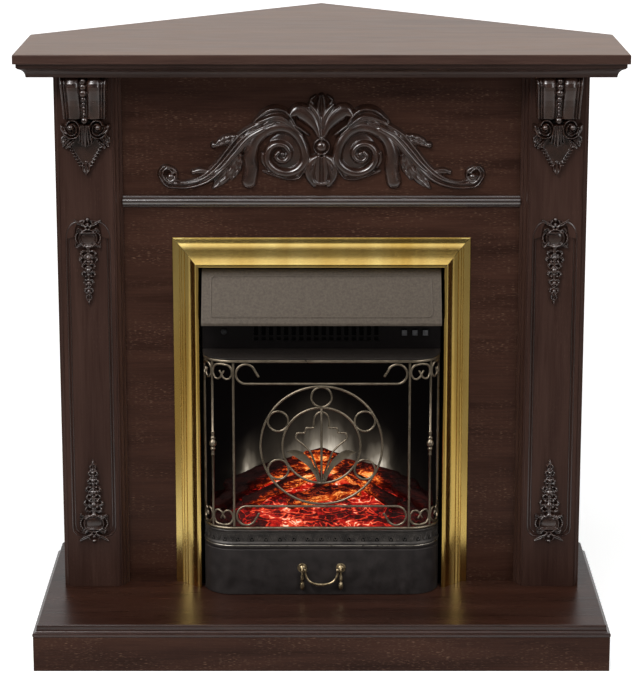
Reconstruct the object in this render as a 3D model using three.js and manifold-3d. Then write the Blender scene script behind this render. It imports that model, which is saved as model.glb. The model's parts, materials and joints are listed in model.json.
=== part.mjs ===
// Corner electric fireplace: a carved wooden surround for the corner of a room, with a
// bow-fronted electric fire in it. Millimetres, +Z up, the front faces -Y, and the origin is
// on the floor under the middle of the whole. Both room walls meet at (0, cornerY), and a wall
// is where |x| + y = cornerY.

import * as THREE from 'three';
import { mergeVertices } from 'three/addons/utils/BufferGeometryUtils.js';
import Module from 'manifold-3d';

const wasm = await Module();
wasm.setup();

// ---- Driving dimensions: the whole --------------------------------------------------------

const footprintDepth = 931;      // hearth front to the corner of the room
const overallHeight = 1022;
const seat = 0.3;                // clearance between pieces that rest on each other
const boardThickness = 16;       // frieze, front and side panels

// ---- Driving dimensions: hearth -----------------------------------------------------------

const hearthWidth = 972;
const hearthHeight = 80;
const hearthBoard = 20;
const plinthThickness = 18;
const plinthInset = 1;           // plinth face behind the board's widest line
const backRailDepth = 40;

// ---- Driving dimensions: mantel -----------------------------------------------------------

const mantelWidth = 1020;
const mantelSetback = 145;       // mantel front behind the hearth front
const slabThickness = 16;
const slabBevel = 1.5;
const mouldingHeight = 24;
const mouldingWidth = 105;       // front to back of a mantel moulding
const battenWidth = 45;

// ---- Driving dimensions: front of the surround ----------------------------------------------

const bodyWidth = 900;           // over the pilasters' outer faces
const pilasterSetback = 207;     // pilaster face behind the hearth front
const pilasterWidth = 107;
const panelRecess = 27;          // panel face behind the pilaster face
const stripHeight = 20;          // half-round strip under the frieze
const stripGap = 53;             // brass trim's top to the strip
const fieldWidth = 76;           // routed field in a pilaster face
const fieldFoot = 91;            // field above the hearth
const fieldGap = 77;             // field below the corbel
const fieldDepth = 3;

// ---- Driving dimensions: carvings ---------------------------------------------------------

const corbelHeight = 170;
const corbelWidth = 80;
const corbelProjection = 42;
const ornamentFoot = 17;         // lowest tip of the frieze ornament above the strip
const ornamentHeadroom = 27;     // its palmette below the mantel
const ornamentMargin = 66;       // its ends inside the sides of the frieze
const ornamentRelief = 15;
const appliqueHeight = 150;
const upperAppliqueWidth = 48;
const lowerAppliqueWidth = 54;
const appliqueRelief = 8;
const appliqueGap = 75;          // upper applique below the corbel
const appliqueFoot = 82;         // lower applique above the hearth

// ---- Driving dimensions: brass trim -------------------------------------------------------

const trimWidth = 510;
const trimHeight = 618;
const trimBorder = 46;
const trimProjection = 35;
const trimReturn = 50;
const trimSheet = 2;

// ---- Driving dimensions: electric fire ------------------------------------------------------

const housingGap = 5;            // housing inside the trim's opening
const housingDepth = 170;
const housingSheet = 2;
const housingSetback = 19;       // housing mouth in front of the panel face
const bowProjection = 73;        // bow front ahead of the panel face
const bowRadius = 52;
const casingHeight = 90;
const casingSheet = 2.5;
const casingFlange = 12;
const galleryHeight = 27;
const gallerySheet = 1.6;
const windowPitch = 24;          // small windows along the gallery band
const windowHalf = 4;
const windowFoot = 6.5;
const grilleHeight = 297;
const rodRadius = 2.1;
const railRadius = 2.8;
const innerPostInset = 1.5;      // inner post inside the end of the bow's flat
const endPostInset = 0.7;        // last post short of the end of the bow's corner
const rosetteRadius = 104.5;
const innerRingRadius = 67;
const hoodHeight = 87;
const hoodSlope = 55;            // forward lean of the hood's face
const hoodSheet = 2;
const hoodLip = 5;               // upright edge at the foot of the hood's face
const hoodBorder = 18;           // pressed line inside the hood's sides
const hoodBead = 3;              // its width
const canopySheet = 2;
const canopyRise = 7;            // the plate over the grille climbs this much to the fascia
const fasciaHeight = 61;
const fasciaSheet = 2;
const fasciaStep = 6;            // the fascia stands this far ahead of its foot
const fasciaFoot = 5;
const slotColumns = 17;
const slotPitch = 12.9;
const slotHalf = 3.6;
const slotShift = 9;             // rows of slots left of the middle
const rockerPitch = 18;
const rockerSize = 9;
const rockerInset = 44;          // middle switch inside the housing's side
const rockerTilt = 7;            // degrees, resting with the lower half in
const handleSpacing = 66.8;
const handleDrop = 25;
const roseRadius = 6.5;
const screenHeight = 330;
const screenSetback = 68;        // flame screen behind the panel face
const logRadius = 17;
const bedMargin = 8;             // ember bed inside the bow
const bedTray = 14;              // height of the bed's front edge
const bedRise = 88;              // the heap's climb to the flame screen
const lampReach = 60;            // each lamp from the middle
const fanRadius = 26;
const fanBlades = 6;
const fanSetback = 66;           // fan shaft behind the housing's mouth
const fanLift = 90;              // fan shaft above the grille's top rail
const fanReach = 0.54;           // half length of the wheel over the housing's half width
const rotorFlags = 6;
const rotorSetback = 32;         // spindle behind the flame screen
const rotorLift = 50;            // spindle above the casing

// ---- Places worked out from the sizes -------------------------------------------------------

const hearthFrontY = -footprintDepth / 2;
const cornerY = footprintDepth / 2;
const mantelFrontY = hearthFrontY + mantelSetback;
const pilasterY = hearthFrontY + pilasterSetback;
const panelY = pilasterY + panelRecess;
const slabBottom = overallHeight - slabThickness;
const frameTop = slabBottom - mouldingHeight;
const frameBottom = hearthHeight + seat;
const stripBottom = hearthHeight + trimHeight + stripGap;
const corbelBase = frameTop - seat - corbelHeight;
const fieldBottom = hearthHeight + fieldFoot;
const fieldTop = corbelBase - fieldGap;
const upperAppliqueBase = corbelBase - appliqueGap - appliqueHeight;
const lowerAppliqueTop = hearthHeight + appliqueFoot + appliqueHeight;
const ornamentBase = stripBottom + stripHeight + ornamentFoot;
const ornamentHeight = frameTop - ornamentHeadroom - ornamentBase;
const pilasterX = (bodyWidth - pilasterWidth) / 2;
const panelHalf = bodyWidth / 2 - pilasterWidth - seat;
const ornamentWidth = 2 * (panelHalf - ornamentMargin);
const bowFrontY = panelY - bowProjection;
const mouthY = panelY - housingSetback;
const trimOpeningHalf = trimWidth / 2 - trimBorder;
const trimOpeningTop = hearthHeight + trimHeight - trimBorder;
const housingHalf = trimOpeningHalf - housingGap;
const bowHalf = housingHalf;
const bowFlat = bowHalf - bowRadius;
const bowCorner = (bowRadius * Math.PI) / 2;
const innerPostAt = bowFlat - innerPostInset;
const knucklePostAt = bowFlat + bowCorner / 2;
const endPostAt = bowFlat + bowCorner - endPostInset;
const casingTop = frameBottom + casingHeight;
const galleryTop = casingTop + galleryHeight;
const railBottomZ = galleryTop + seat + railRadius;
const railTopZ = railBottomZ + grilleHeight;
const housingTop = trimOpeningTop - housingGap;

// ---- Colours ------------------------------------------------------------------------------

const finish = (color, roughness, metalness) => (
  new THREE.MeshStandardMaterial({ color, roughness, metalness })
);
const wenge = finish(0x3a2a26, 0.42, 0);
const carvedWenge = finish(0x2a1e1b, 0.3, 0);
const brass = finish(0xd2ab58, 0.25, 1);
const pewter = finish(0x6e645c, 0.45, 0.8);
const castDark = finish(0x3a3634, 0.6, 0.5);
const hoodGrey = finish(0x645d56, 0.5, 0.6);
const blackSheet = finish(0x161413, 0.6, 0.3);
const antiqueBrass = finish(0x82735a, 0.4, 0.9);
const flameWhite = finish(0xcfc9c0, 0.7, 0);
const emberRed = finish(0xb0331a, 0.8, 0);
const logBrown = finish(0x3c1a14, 0.9, 0);
const galvanised = finish(0x9a9c9c, 0.4, 0.8);
const blackPlastic = finish(0x1b1b1c, 0.5, 0);
const lampGlass = finish(0xf2e6c8, 0.2, 0);

// ---- Solids -------------------------------------------------------------------------------

const point = (x, y, z) => new THREE.Vector3(x, y, z);

// Six times the signed volume under a triangle list: negative when the faces point inwards.
function signedVolume(positions, faces) {
  const six = ([a, b, c]) => positions[a].dot(positions[b].clone().cross(positions[c]));
  return faces.reduce((sum, face) => sum + six(face), 0);
}

function shell(positions, faces) {
  const outward = signedVolume(positions, faces) > 0 ? faces : faces.map(([a, b, c]) => [a, c, b]);
  const geometry = new THREE.BufferGeometry().setFromPoints(positions);
  geometry.setIndex(outward.flat());
  return mergeVertices(geometry, 1e-4);
}

// A skin over rings of equal point counts, closed with flat caps or joined end to start.
function loft(rings, endless = false) {
  const count = rings[0].length;
  const positions = rings.flat();
  const faces = [];
  const last = endless ? rings.length : rings.length - 1;
  for (let i = 0; i < last; i += 1) {
    const low = i * count;
    const high = ((i + 1) % rings.length) * count;
    for (let j = 0; j < count; j += 1) {
      const next = (j + 1) % count;
      faces.push([low + j, low + next, high + next], [low + j, high + next, high + j]);
    }
  }
  if (!endless) {
    const ends = [[rings[0], 0, true], [rings.at(-1), positions.length - count, false]];
    for (const [ring, start, flip] of ends) {
      for (const [a, b, c] of capFaces(ring)) {
        faces.push(flip ? [start + a, start + c, start + b] : [start + a, start + b, start + c]);
      }
    }
  }
  return shell(positions, faces);
}

// Triangles of a flat polygon in space, turned the way its points run.
function capFaces(ring) {
  const normal = point(0, 0, 0);
  ring.forEach((p, i) => normal.add(p.clone().cross(ring[(i + 1) % ring.length])));
  normal.normalize();
  const across = point(...(Math.abs(normal.z) < 0.9 ? [0, 0, 1] : [1, 0, 0])).cross(normal).normalize();
  const up = normal.clone().cross(across);
  const flat = ring.map((p) => new THREE.Vector2(p.dot(across), p.dot(up)));
  return THREE.ShapeUtils.triangulateShape(flat, []);
}

const prismZ = (outline, z0, z1) => loft([z0, z1].map((z) => outline.map(([x, y]) => point(x, y, z))));
const prismX = (outline, x0, x1) => loft([x0, x1].map((x) => outline.map(([y, z]) => point(x, y, z))));
const prismY = (outline, y0, y1) => loft([y0, y1].map((y) => outline.map(([x, z]) => point(x, y, z))));
const block = (x0, x1, y0, y1, z0, z1) => prismZ([[x0, y0], [x1, y0], [x1, y1], [x0, y1]], z0, z1);

// A body of revolution about the line through centre along +Z or +X.
function turned(profile, segments, centre, along = 'z') {
  const geometry = new THREE.LatheGeometry(profile.map(([r, h]) => new THREE.Vector2(r, h)), segments);
  if (along === 'x') geometry.rotateZ(-Math.PI / 2);
  else geometry.rotateX(Math.PI / 2);
  geometry.translate(centre.x, centre.y, centre.z);
  return bare(geometry);
}

// Points spaced evenly along a smooth curve through the points given.
function smooth(points, steps) {
  return new THREE.CatmullRomCurve3(points, false, 'centripetal').getSpacedPoints(steps);
}

// A bar through its stations, its flats at the radius, a number or a function of 0..1.
function bar(stations, radius, sides = 6) {
  const last = stations.length - 1;
  const tangents = stations.map((_, i) => (
    stations[Math.min(i + 1, last)].clone().sub(stations[Math.max(i - 1, 0)]).normalize()
  ));
  let normal = point(...(Math.abs(tangents[0].y) < 0.9 ? [0, 1, 0] : [1, 0, 0]));
  return loft(stations.map((centre, i) => {
    const flat = typeof radius === 'function' ? radius(i / last) : radius;
    const r = flat / Math.cos(Math.PI / sides);
    normal = normal.clone().addScaledVector(tangents[i], -normal.dot(tangents[i])).normalize();
    const across = tangents[i].clone().cross(normal);
    return Array.from({ length: sides }, (__, j) => {
      const angle = ((j + 0.5) / sides) * 2 * Math.PI;
      return centre.clone()
        .addScaledVector(normal, r * Math.cos(angle))
        .addScaledVector(across, r * Math.sin(angle));
    });
  }));
}

// Position only, with shared vertices.
function bare(geometry) {
  const plain = geometry.clone();
  plain.deleteAttribute('normal');
  if (plain.getAttribute('uv')) plain.deleteAttribute('uv');
  return mergeVertices(plain, 1e-4);
}

function solid(geometry) {
  const plain = bare(geometry);
  const vertProperties = new Float32Array(plain.getAttribute('position').array);
  const triVerts = new Uint32Array(plain.getIndex().array);
  return new wasm.Manifold(new wasm.Mesh({ numProp: 3, vertProperties, triVerts }));
}

function geometryOf(manifold) {
  const { numProp, vertProperties, triVerts } = manifold.getMesh();
  const positions = [];
  for (let i = 0; i < vertProperties.length; i += numProp) positions.push(...vertProperties.slice(i, i + 3));
  const geometry = new THREE.BufferGeometry();
  geometry.setAttribute('position', new THREE.Float32BufferAttribute(positions, 3));
  geometry.setIndex([...triVerts]);
  return geometry;
}

const join = (...pieces) => geometryOf(pieces.map(solid).reduce((a, b) => a.add(b)));
const cut = (stock, ...tools) => geometryOf(tools.map(solid).reduce((a, b) => a.subtract(b), solid(stock)));

function mirroredX(geometry) {
  const copy = geometry.clone().scale(-1, 1, 1);
  const index = copy.getIndex().array;
  for (let i = 0; i < index.length; i += 3) [index[i + 1], index[i + 2]] = [index[i + 2], index[i + 1]];
  return copy;
}

// ---- The scene graph ------------------------------------------------------------------------

const group = new THREE.Group();

function add(name, geometry, material, parent = group) {
  const mesh = new THREE.Mesh(geometry, material);
  mesh.name = name;
  parent.add(mesh);
  return mesh;
}

// Adds left and right copies of a piece that is drawn on the right.
function addPair(name, geometry, material) {
  add(`${name}_right`, geometry, material);
  add(`${name}_left`, mirroredX(geometry), material);
}

// ---- Hearth ---------------------------------------------------------------------------------

// Five-sided plan: front, two sides and the two walls; the inset leaves the walls alone.
function pentagon(halfWidth, frontY, inset) {
  const half = halfWidth - inset;
  const front = frontY + inset;
  return [[-half, front], [half, front], [half, cornerY - half], [0, cornerY], [-half, cornerY - half]];
}

function mouldedBoard(halfWidth, frontY, edge) {
  return loft(edge.map(([inset, z]) => pentagon(halfWidth, frontY, inset).map(([x, y]) => point(x, y, z))));
}

// [setback, depth below the top] down the edge of the hearth board: bevel, ogee and bead.
const hearthEdge = [
  [9, 0], [7.5, 1], [7.5, 4], [6, 8.5], [2.6, 12], [0.6, 14.2], [0, 16], [0.4, 18.5], [1.4, 20],
];

function buildHearth() {
  const half = hearthWidth / 2;
  const edge = hearthEdge.map(([inset, down]) => [inset, hearthHeight - (down * hearthBoard) / 20]);
  add('hearth_top', mouldedBoard(half, hearthFrontY, edge), wenge);

  const top = hearthHeight - hearthBoard - seat;
  const face = half - plinthInset;
  const front = hearthFrontY + plinthInset;
  const wallY = cornerY - face;
  add('plinth_front', prismZ([
    [-face, front], [face, front],
    [face - plinthThickness, front + plinthThickness], [-face + plinthThickness, front + plinthThickness],
  ], 0, top), wenge);

  const mitre = front + seat * 1.5;
  const inner = face - plinthThickness;
  addPair('plinth', prismZ([
    [face, mitre], [face, wallY], [inner, wallY + plinthThickness], [inner, mitre + plinthThickness],
  ], 0, top), wenge);

  // A back rail runs along each wall from the side plinth to the corner.
  const rail = plinthThickness * Math.SQRT2;
  const start = inner - seat;
  addPair('back_rail', prismZ([
    [start, cornerY - start], [seat, cornerY - seat], [seat, cornerY - seat - rail],
    [start, cornerY - start - rail],
  ], top - backRailDepth, top), wenge);
}

// ---- Surround ---------------------------------------------------------------------------------

// Plan section of the right pilaster as [in from the outer face, back from the face].
const pilasterSection = [
  [0, 43], [0, 7], [3, 6.5], [5.5, 4], [6, 2.5], [9, 2.5], [9, 0], [98, 0], [98, 2.5],
  [101, 3], [103, 8], [107, 12], [108, 19], [112, 23], [112, 26.5], [107, 26.5], [107, 43],
];

function pilasterOutline() {
  const wide = pilasterWidth / 107;
  const outer = bodyWidth / 2;
  const back = panelRecess + boardThickness;
  return pilasterSection.map(([across, behind]) => {
    const depth = behind > 27 ? back : (behind * (panelRecess - 0.5)) / 26.5;
    return [outer - across * wide, pilasterY + depth];
  });
}

// The routed field: a shouldered arch at the top and a shallow dip at the foot.
function fieldOutline() {
  const half = fieldWidth / 2;
  const archRadius = half * 0.62;
  const arch = [];
  for (let i = 1; i <= 7; i += 1) {
    const angle = (i / 8) * Math.PI;
    arch.push([pilasterX + archRadius * Math.cos(angle), fieldTop - archRadius * (1 - Math.sin(angle))]);
  }
  const shoulder = fieldTop - half * 0.9;
  return [
    [pilasterX - half, fieldBottom + half * 0.35], [pilasterX - half * 0.6, fieldBottom],
    [pilasterX + half * 0.6, fieldBottom], [pilasterX + half, fieldBottom + half * 0.35],
    [pilasterX + half, shoulder], [pilasterX + archRadius, shoulder + half * 0.1], ...arch,
    [pilasterX - archRadius, shoulder + half * 0.1], [pilasterX - half, shoulder],
  ];
}

function buildPilasters() {
  const post = prismZ(pilasterOutline(), frameBottom, frameTop - seat);
  const field = prismY(fieldOutline(), pilasterY - 5, pilasterY + fieldDepth);
  addPair('pilaster', cut(post, field), wenge);
}

function buildPanels() {
  const back = panelY + boardThickness;
  const openingHalf = trimOpeningHalf + 5;
  const openingTop = trimOpeningTop + 5;
  const seam = stripBottom + stripHeight / 2;
  add('front_panel', prismY([
    [-panelHalf, frameBottom], [-openingHalf, frameBottom], [-openingHalf, openingTop],
    [openingHalf, openingTop], [openingHalf, frameBottom], [panelHalf, frameBottom],
    [panelHalf, seam - seat / 2], [-panelHalf, seam - seat / 2],
  ], panelY, back), wenge);
  add('frieze_panel', block(-panelHalf, panelHalf, panelY, back, seam + seat / 2, frameTop - seat), wenge);

  // Half-round strip over the seam, between the pilasters' inner mouldings.
  const stripHalf = panelHalf - 5;
  const radius = stripHeight / 2;
  const section = [];
  for (let i = 0; i <= 8; i += 1) {
    const angle = (i / 8) * Math.PI;
    section.push([panelY - seat - radius * Math.sin(angle), seam + radius * Math.cos(angle)]);
  }
  add('frieze_strip', prismX(section, -stripHalf, stripHalf), wenge);

  const outer = bodyWidth / 2;
  const inner = outer - boardThickness;
  addPair('side_panel', prismZ([
    [outer, back + seat], [outer, cornerY - outer], [inner, cornerY - inner], [inner, back + seat],
  ], frameBottom, frameTop - seat), wenge);
}

// ---- Mantel -----------------------------------------------------------------------------------

// [setback from the slab edge, height above the frame] up the mantel moulding.
const mantelProfile = [
  [19.5, 0], [19.2, 3], [17.5, 8], [13.5, 12.5], [8.5, 15], [7, 15.4], [7, 16.5], [5, 17.2], [5, 23.7],
];

// One mantel moulding about its own centre, outward -Y, cut at the ends by the shares given.
function mouldingRun(start, end, startCut, endCut) {
  const rise = (mouldingHeight - seat) / 23.7;
  const section = [...mantelProfile, [mouldingWidth, 23.7], [mouldingWidth, 0]];
  const ringAt = (along, share) => section.map(([inset, up]) => (
    point(along + share * inset, inset, frameTop + up * rise)
  ));
  return loft([ringAt(start, startCut), ringAt(end, endCut)]);
}

function buildMantel() {
  const half = mantelWidth / 2;
  add('mantel_slab', mouldedBoard(half, mantelFrontY, [
    [0, slabBottom], [0, overallHeight - slabBevel], [slabBevel, overallHeight],
  ]), wenge);

  const front = mouldingRun(-half + seat / 2, half - seat / 2, 1, -1);
  add('mantel_moulding_front', front, wenge).position.set(0, mantelFrontY, 0);

  // The side run starts at the front mitre and ends on the wall.
  const sideLength = cornerY - half - mantelFrontY;
  const side = mouldingRun(seat / 2, sideLength, 1, 1);
  side.rotateZ(Math.PI / 2);
  side.translate(half, mantelFrontY, 0);
  addPair('mantel_moulding', side, wenge);

  // A batten along each wall behind the side run.
  const start = half - mouldingWidth - seat;
  const width = battenWidth * Math.SQRT2;
  addPair('mantel_batten', prismZ([
    [start, cornerY - start], [seat, cornerY - seat], [seat, cornerY - seat - width],
    [start, cornerY - start - width],
  ], frameTop, slabBottom - seat), wenge);
}

// ---- Carving ----------------------------------------------------------------------------------

// Half section of a carved stroke: [share of the half width, share of the relief].
const grooved = [[-1, 0], [-0.62, 0.95], [0, 0.68], [0.62, 0.95], [1, 0]];
const rounded = [[-1, 0], [-0.5, 1], [0.5, 1], [1, 0]];
const ridged = [[-1, 0], [0, 1], [1, 0]];

// A stroke in relief on the plane y = 0: path [x, z], width and relief as functions of 0..1.
function stroke(path, width, relief, steps, section = grooved) {
  const curve = new THREE.CatmullRomCurve3(path.map(([x, z]) => point(x, 0, z)), false, 'centripetal');
  const rings = [];
  for (let i = 0; i <= steps; i += 1) {
    const t = i / steps;
    const centre = curve.getPointAt(t);
    const along = curve.getTangentAt(t);
    rings.push(section.map(([side, up]) => point(
      centre.x + (along.z * side * width(t)) / 2, -up * relief(t), centre.z - (along.x * side * width(t)) / 2,
    )));
  }
  return loft(rings);
}

// Leaf widths and reliefs swell and close; arms run from a broad root to a fine tip.
const swell = (least, most, peak = 0.45) => (t) => {
  const share = t < peak ? t / peak : (1 - t) / (1 - peak);
  return least + (most - least) * Math.sin((share * Math.PI) / 2);
};
const taper = (root, tip) => (t) => root + (tip - root) * t;
const steady = (size) => () => size;

// Path of a spiral that turns from outer to inner radius.
function spiral(cx, cz, outer, inner, from, turns, count) {
  return Array.from({ length: count + 1 }, (_, i) => {
    const t = i / count;
    const radius = outer + (inner - outer) * t;
    const angle = from + turns * 2 * Math.PI * t;
    return [cx + radius * Math.cos(angle), cz + radius * Math.sin(angle)];
  });
}

// A knob in relief: a low dome of the given radius.
function knob(cx, cz, radius, relief, segments = 10) {
  const rings = [[1, 0], [0.85, 0.7], [0.35, 1]].map(([wide, up]) => (
    Array.from({ length: segments }, (_, j) => {
      const angle = (j / segments) * 2 * Math.PI;
      return point(cx + radius * wide * Math.cos(angle), -relief * up, cz + radius * wide * Math.sin(angle));
    })
  ));
  return loft(rings);
}

// Frieze ornament, drawn 553 x 167 about its lowest middle point: acanthus arms, volutes,
// shoulder lobes, a palmette above and a bell pendant below.
function buildFriezeOrnament() {
  const tall = ornamentHeight / 167;
  const wide = ornamentWidth / 553;
  const r = ornamentRelief;
  const half = [
    // arm from the shoulder out to the end curl
    stroke([[84, 112], [108, 103], [135, 86], [157, 60], [176, 36], [197, 15], [224, 5], [246, 4], [262, 7],
      [272, 20], [266, 32], [253, 27]], taper(22, 9), taper(r * 0.8, r * 0.55), 10),
    // stem of the volute, rising from its foot and turning in
    stroke([[123, 10], [119, 33], [120, 56], [112, 80], [93, 97], [67, 103], [45, 94], [30, 70], [28, 46],
      [39, 31], [59, 24], [80, 31], [91, 46], [89, 65], [76, 74], [61, 71], [54, 60]], taper(19, 8),
    taper(r * 0.7, r * 0.95), 14),
    // leaf buds on the arm
    stroke([[136, 88], [152, 84], [170, 78], [186, 71]], swell(5, 12, 0.7), taper(r * 0.7, r * 0.5), 3, ridged),
    stroke([[190, 26], [205, 29], [220, 27]], swell(4, 10, 0.7), taper(r * 0.6, r * 0.4), 2, ridged),
    // drooping leaves under the arm
    stroke([[144, 70], [154, 39], [166, 18], [184, 1]], swell(5, 18, 0.55), taper(r * 0.6, r * 0.3), 4),
    stroke([[128, 86], [138, 52], [144, 28], [152, 14]], swell(6, 12, 0.5), taper(r * 0.6, r * 0.3), 3, ridged),
    // shoulder lobes over the volute
    stroke([[110, 112], [92, 124], [68, 127], [46, 108], [28, 84]], swell(6, 20, 0.45), taper(r * 0.8, r), 5),
    stroke([[56, 120], [42, 131], [24, 124], [6, 95]], swell(9, 22, 0.4), taper(r * 0.9, r), 4, rounded),
    // leaf under the volute
    stroke([[84, 24], [56, 16], [38, 18], [24, 36]], swell(5, 12, 0.5), taper(r * 0.4, r * 0.7), 4, ridged),
    // bell of the pendant
    stroke([[6, 58], [17, 44], [20, 26], [8, 4]], swell(7, 19, 0.4), taper(r * 0.7, r * 0.7), 5, rounded),
  ];
  const middle = [
    stroke([[0, 3], [0, 40], [0, 66]], swell(12, 20, 0.2), steady(r * 0.85), 3, rounded),
    stroke([[0, 76], [0, 110], [0, 150]], swell(15, 21, 0.4), taper(r, r * 0.8), 4),
    stroke([[6, 108], [17, 124], [30, 139]], swell(6, 11, 0.5), taper(r, r * 0.7), 2, ridged),
    stroke([[-6, 108], [-17, 124], [-30, 139]], swell(6, 11, 0.5), taper(r, r * 0.7), 2, ridged),
    knob(0, 155, 12, r * 0.9, 7),
    knob(0, 71, 15, r * 1.1, 8),
  ];
  const whole = join(...middle, ...half, ...half.map(mirroredX));
  whole.scale(wide, 1, tall);
  whole.translate(0, panelY - seat, ornamentBase);
  add('frieze_ornament', whole, carvedWenge);
}

// Applique, drawn 76 x 150 from its lowest tip up: crown, spreading arms, cartouche, cascade.
function appliqueShape(width) {
  const r = appliqueRelief;
  const half = [
    stroke([[4, 130], [16, 136], [28, 141], [36, 146]], taper(8, 5), taper(r, r * 0.6), 3, ridged),
    stroke([[6, 124], [24, 126], [34, 114], [30, 100], [18, 98]], taper(9, 6), taper(r, r * 0.6), 4, ridged),
    stroke([[4, 76], [18, 90], [26, 86], [22, 76]], swell(4, 9, 0.4), steady(r * 0.7), 3, ridged),
    stroke([[2, 40], [15, 54], [21, 50], [16, 38]], swell(4, 11, 0.4), taper(r * 0.9, r * 0.5), 3, ridged),
  ];
  const middle = [
    stroke([[0, 2], [0, 40], [0, 96]], swell(6, 17, 0.6), steady(r * 0.8), 3, rounded),
    stroke([[0, 96], [0, 124], [0, 150]], swell(9, 24, 0.4), taper(r * 0.8, r * 0.7), 3, rounded),
    knob(0, 113, 21, r * 0.95, 8),
  ];
  const whole = join(...middle, ...half, ...half.map(mirroredX));
  whole.scale(width / 76, 1, appliqueHeight / 150);
  return whole;
}

function buildAppliques() {
  const face = pilasterY - seat;
  const upper = appliqueShape(upperAppliqueWidth);
  upper.translate(pilasterX, face, upperAppliqueBase);
  addPair('applique_upper', upper, carvedWenge);
  // The lower one is the same carving turned over.
  const lower = appliqueShape(lowerAppliqueWidth);
  lower.rotateY(Math.PI);
  lower.translate(pilasterX, face, lowerAppliqueTop);
  addPair('applique_lower', lower, carvedWenge);
}

// Corbel, drawn from its lowest tip up: [height, half width, projection] of each section.
const corbelLevels = [
  [0, 4, 6], [10, 8, 12], [24, 5, 7], [34, 13, 9], [50, 21, 13], [57, 30, 16], [68, 33, 19],
  [84, 30, 22], [112, 34, 25], [138, 36, 29], [149, 38, 35], [155, 40, 42], [170, 39, 38],
];
const corbelSection = [
  [-1, 0], [-1, 0.62], [-0.8, 0.95], [-0.48, 0.82], [-0.2, 0.97], [0.2, 0.97], [0.48, 0.82], [0.8, 0.95],
  [1, 0.62], [1, 0],
];

function buildCorbels() {
  const wide = corbelWidth / 80;
  const deep = corbelProjection / 42;
  const body = loft(corbelLevels.map(([z, halfWidth, out]) => (
    corbelSection.map(([side, share]) => point(side * halfWidth, -out * share, z))
  )));
  const volute = bar(spiral(19, 92, 13, 4.5, Math.PI * 0.1, -1.3, 9).map(([x, z]) => point(x, -20, z)),
    (t) => 5.2 - 2.2 * t, 4);
  const ear = stroke([[24, 64], [36, 72], [37, 84]], swell(4, 13), taper(16, 9), 3, ridged);
  const beads = [[112, 5, 25], [122, 4.2, 26], [131, 3.6, 28], [70, 5.5, 20]].map(([z, radius, out]) => (
    turned([[0, -radius], [radius, 0], [0, radius]], 6, point(0, -out, z), 'z')
  ));
  const corbel = join(body, volute, mirroredX(volute), ear, mirroredX(ear), ...beads);
  corbel.scale(wide, deep, corbelHeight / 170);
  corbel.translate(pilasterX, pilasterY - seat, corbelBase);
  addPair('corbel', corbel, carvedWenge);
}

// ---- Brass trim -------------------------------------------------------------------------------

// Section of the trim as [in from the outer edge, forward of the panel]: flange, ribs, splay.
const trimSection = [
  [0, 2], [11, 2], [12.5, 7], [15.5, 8.5], [17, 13], [20.5, 14], [22, 18], [40, 35], [45, 35],
];

// Closes a line of sheet metal into a strip of even thickness, to its left.
function sheet(line, thickness) {
  const offset = line.map((p, i) => {
    const before = line[Math.max(i - 1, 0)];
    const after = line[Math.min(i + 1, line.length - 1)];
    const a = new THREE.Vector2(p[0] - before[0], p[1] - before[1]).normalize();
    const b = new THREE.Vector2(after[0] - p[0], after[1] - p[1]).normalize();
    const first = i === 0 ? b : a;
    const last = i === line.length - 1 ? a : b;
    const bisector = first.clone().add(last).normalize();
    const reach = thickness / Math.max(bisector.dot(first), 0.4);
    return [p[0] - bisector.y * reach, p[1] + bisector.x * reach];
  });
  return [...line, ...offset.reverse()];
}

function buildTrim() {
  const deep = trimProjection / 35;
  const wide = trimBorder / 46;
  const splay = trimSection.map(([inset, out]) => [inset * wide, out * deep]);
  const line = [...splay, [trimBorder, trimProjection - 1], [trimBorder, trimProjection - trimReturn]];
  const profile = sheet(line, -trimSheet);
  const outer = trimWidth / 2;
  const top = hearthHeight + trimHeight;
  const ringAt = (xOf, zOf) => profile.map(([inset, out]) => (
    point(xOf(inset), panelY - seat - out, zOf(inset))
  ));
  addPair('trim', loft([
    ringAt((inset) => outer - inset, () => frameBottom),
    ringAt((inset) => outer - inset, (inset) => top - inset - seat),
  ]), brass);
  add('trim_top', loft([
    ringAt((inset) => -outer + inset + seat, (inset) => top - inset),
    ringAt((inset) => outer - inset - seat, (inset) => top - inset),
  ]), brass);
}

// ---- Bow-fronted casing, gallery and grille ---------------------------------------------------

// Plan point of the bow, by the distance round its outer face from the middle; inset moves in.
function bow(around, inset) {
  const side = Math.sign(around) || 1;
  const distance = Math.abs(around);
  const angle = Math.min(Math.max((distance - bowFlat) / bowRadius, 0), Math.PI / 2);
  const straight = Math.max(distance - bowFlat - bowCorner, 0);
  const radius = bowRadius - inset;
  const x = Math.min(distance, bowFlat) + radius * Math.sin(angle);
  return [side * x, bowFrontY + bowRadius - radius * Math.cos(angle) + straight];
}

// Distances round the bow from one mouth edge to the other, with five steps in each corner.
function bowStations(endY) {
  const end = bowFlat + bowCorner + endY - bowFrontY - bowRadius;
  const right = [0, 1, 2, 3, 4, 5].map((i) => bowFlat + (bowCorner * i) / 5);
  if (end > right.at(-1) + 0.5) right.push(end);
  return [...[...right].reverse().map((s) => -s), ...right];
}

const bowEndY = mouthY - seat;

function buildCasing() {
  const stations = bowStations(bowEndY);
  // Section of the folded sheet as [inset, height]: the wall with a flange turned in at the top.
  const section = [
    [0, frameBottom], [0, casingTop], [casingFlange, casingTop], [casingFlange, casingTop - casingSheet],
    [casingSheet, casingTop - casingSheet], [casingSheet, frameBottom],
  ];
  const rings = stations.map((s) => section.map(([inset, z]) => point(...bow(s, inset), z)));
  add('fender_casing', loft(rings), castDark);
}

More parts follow.
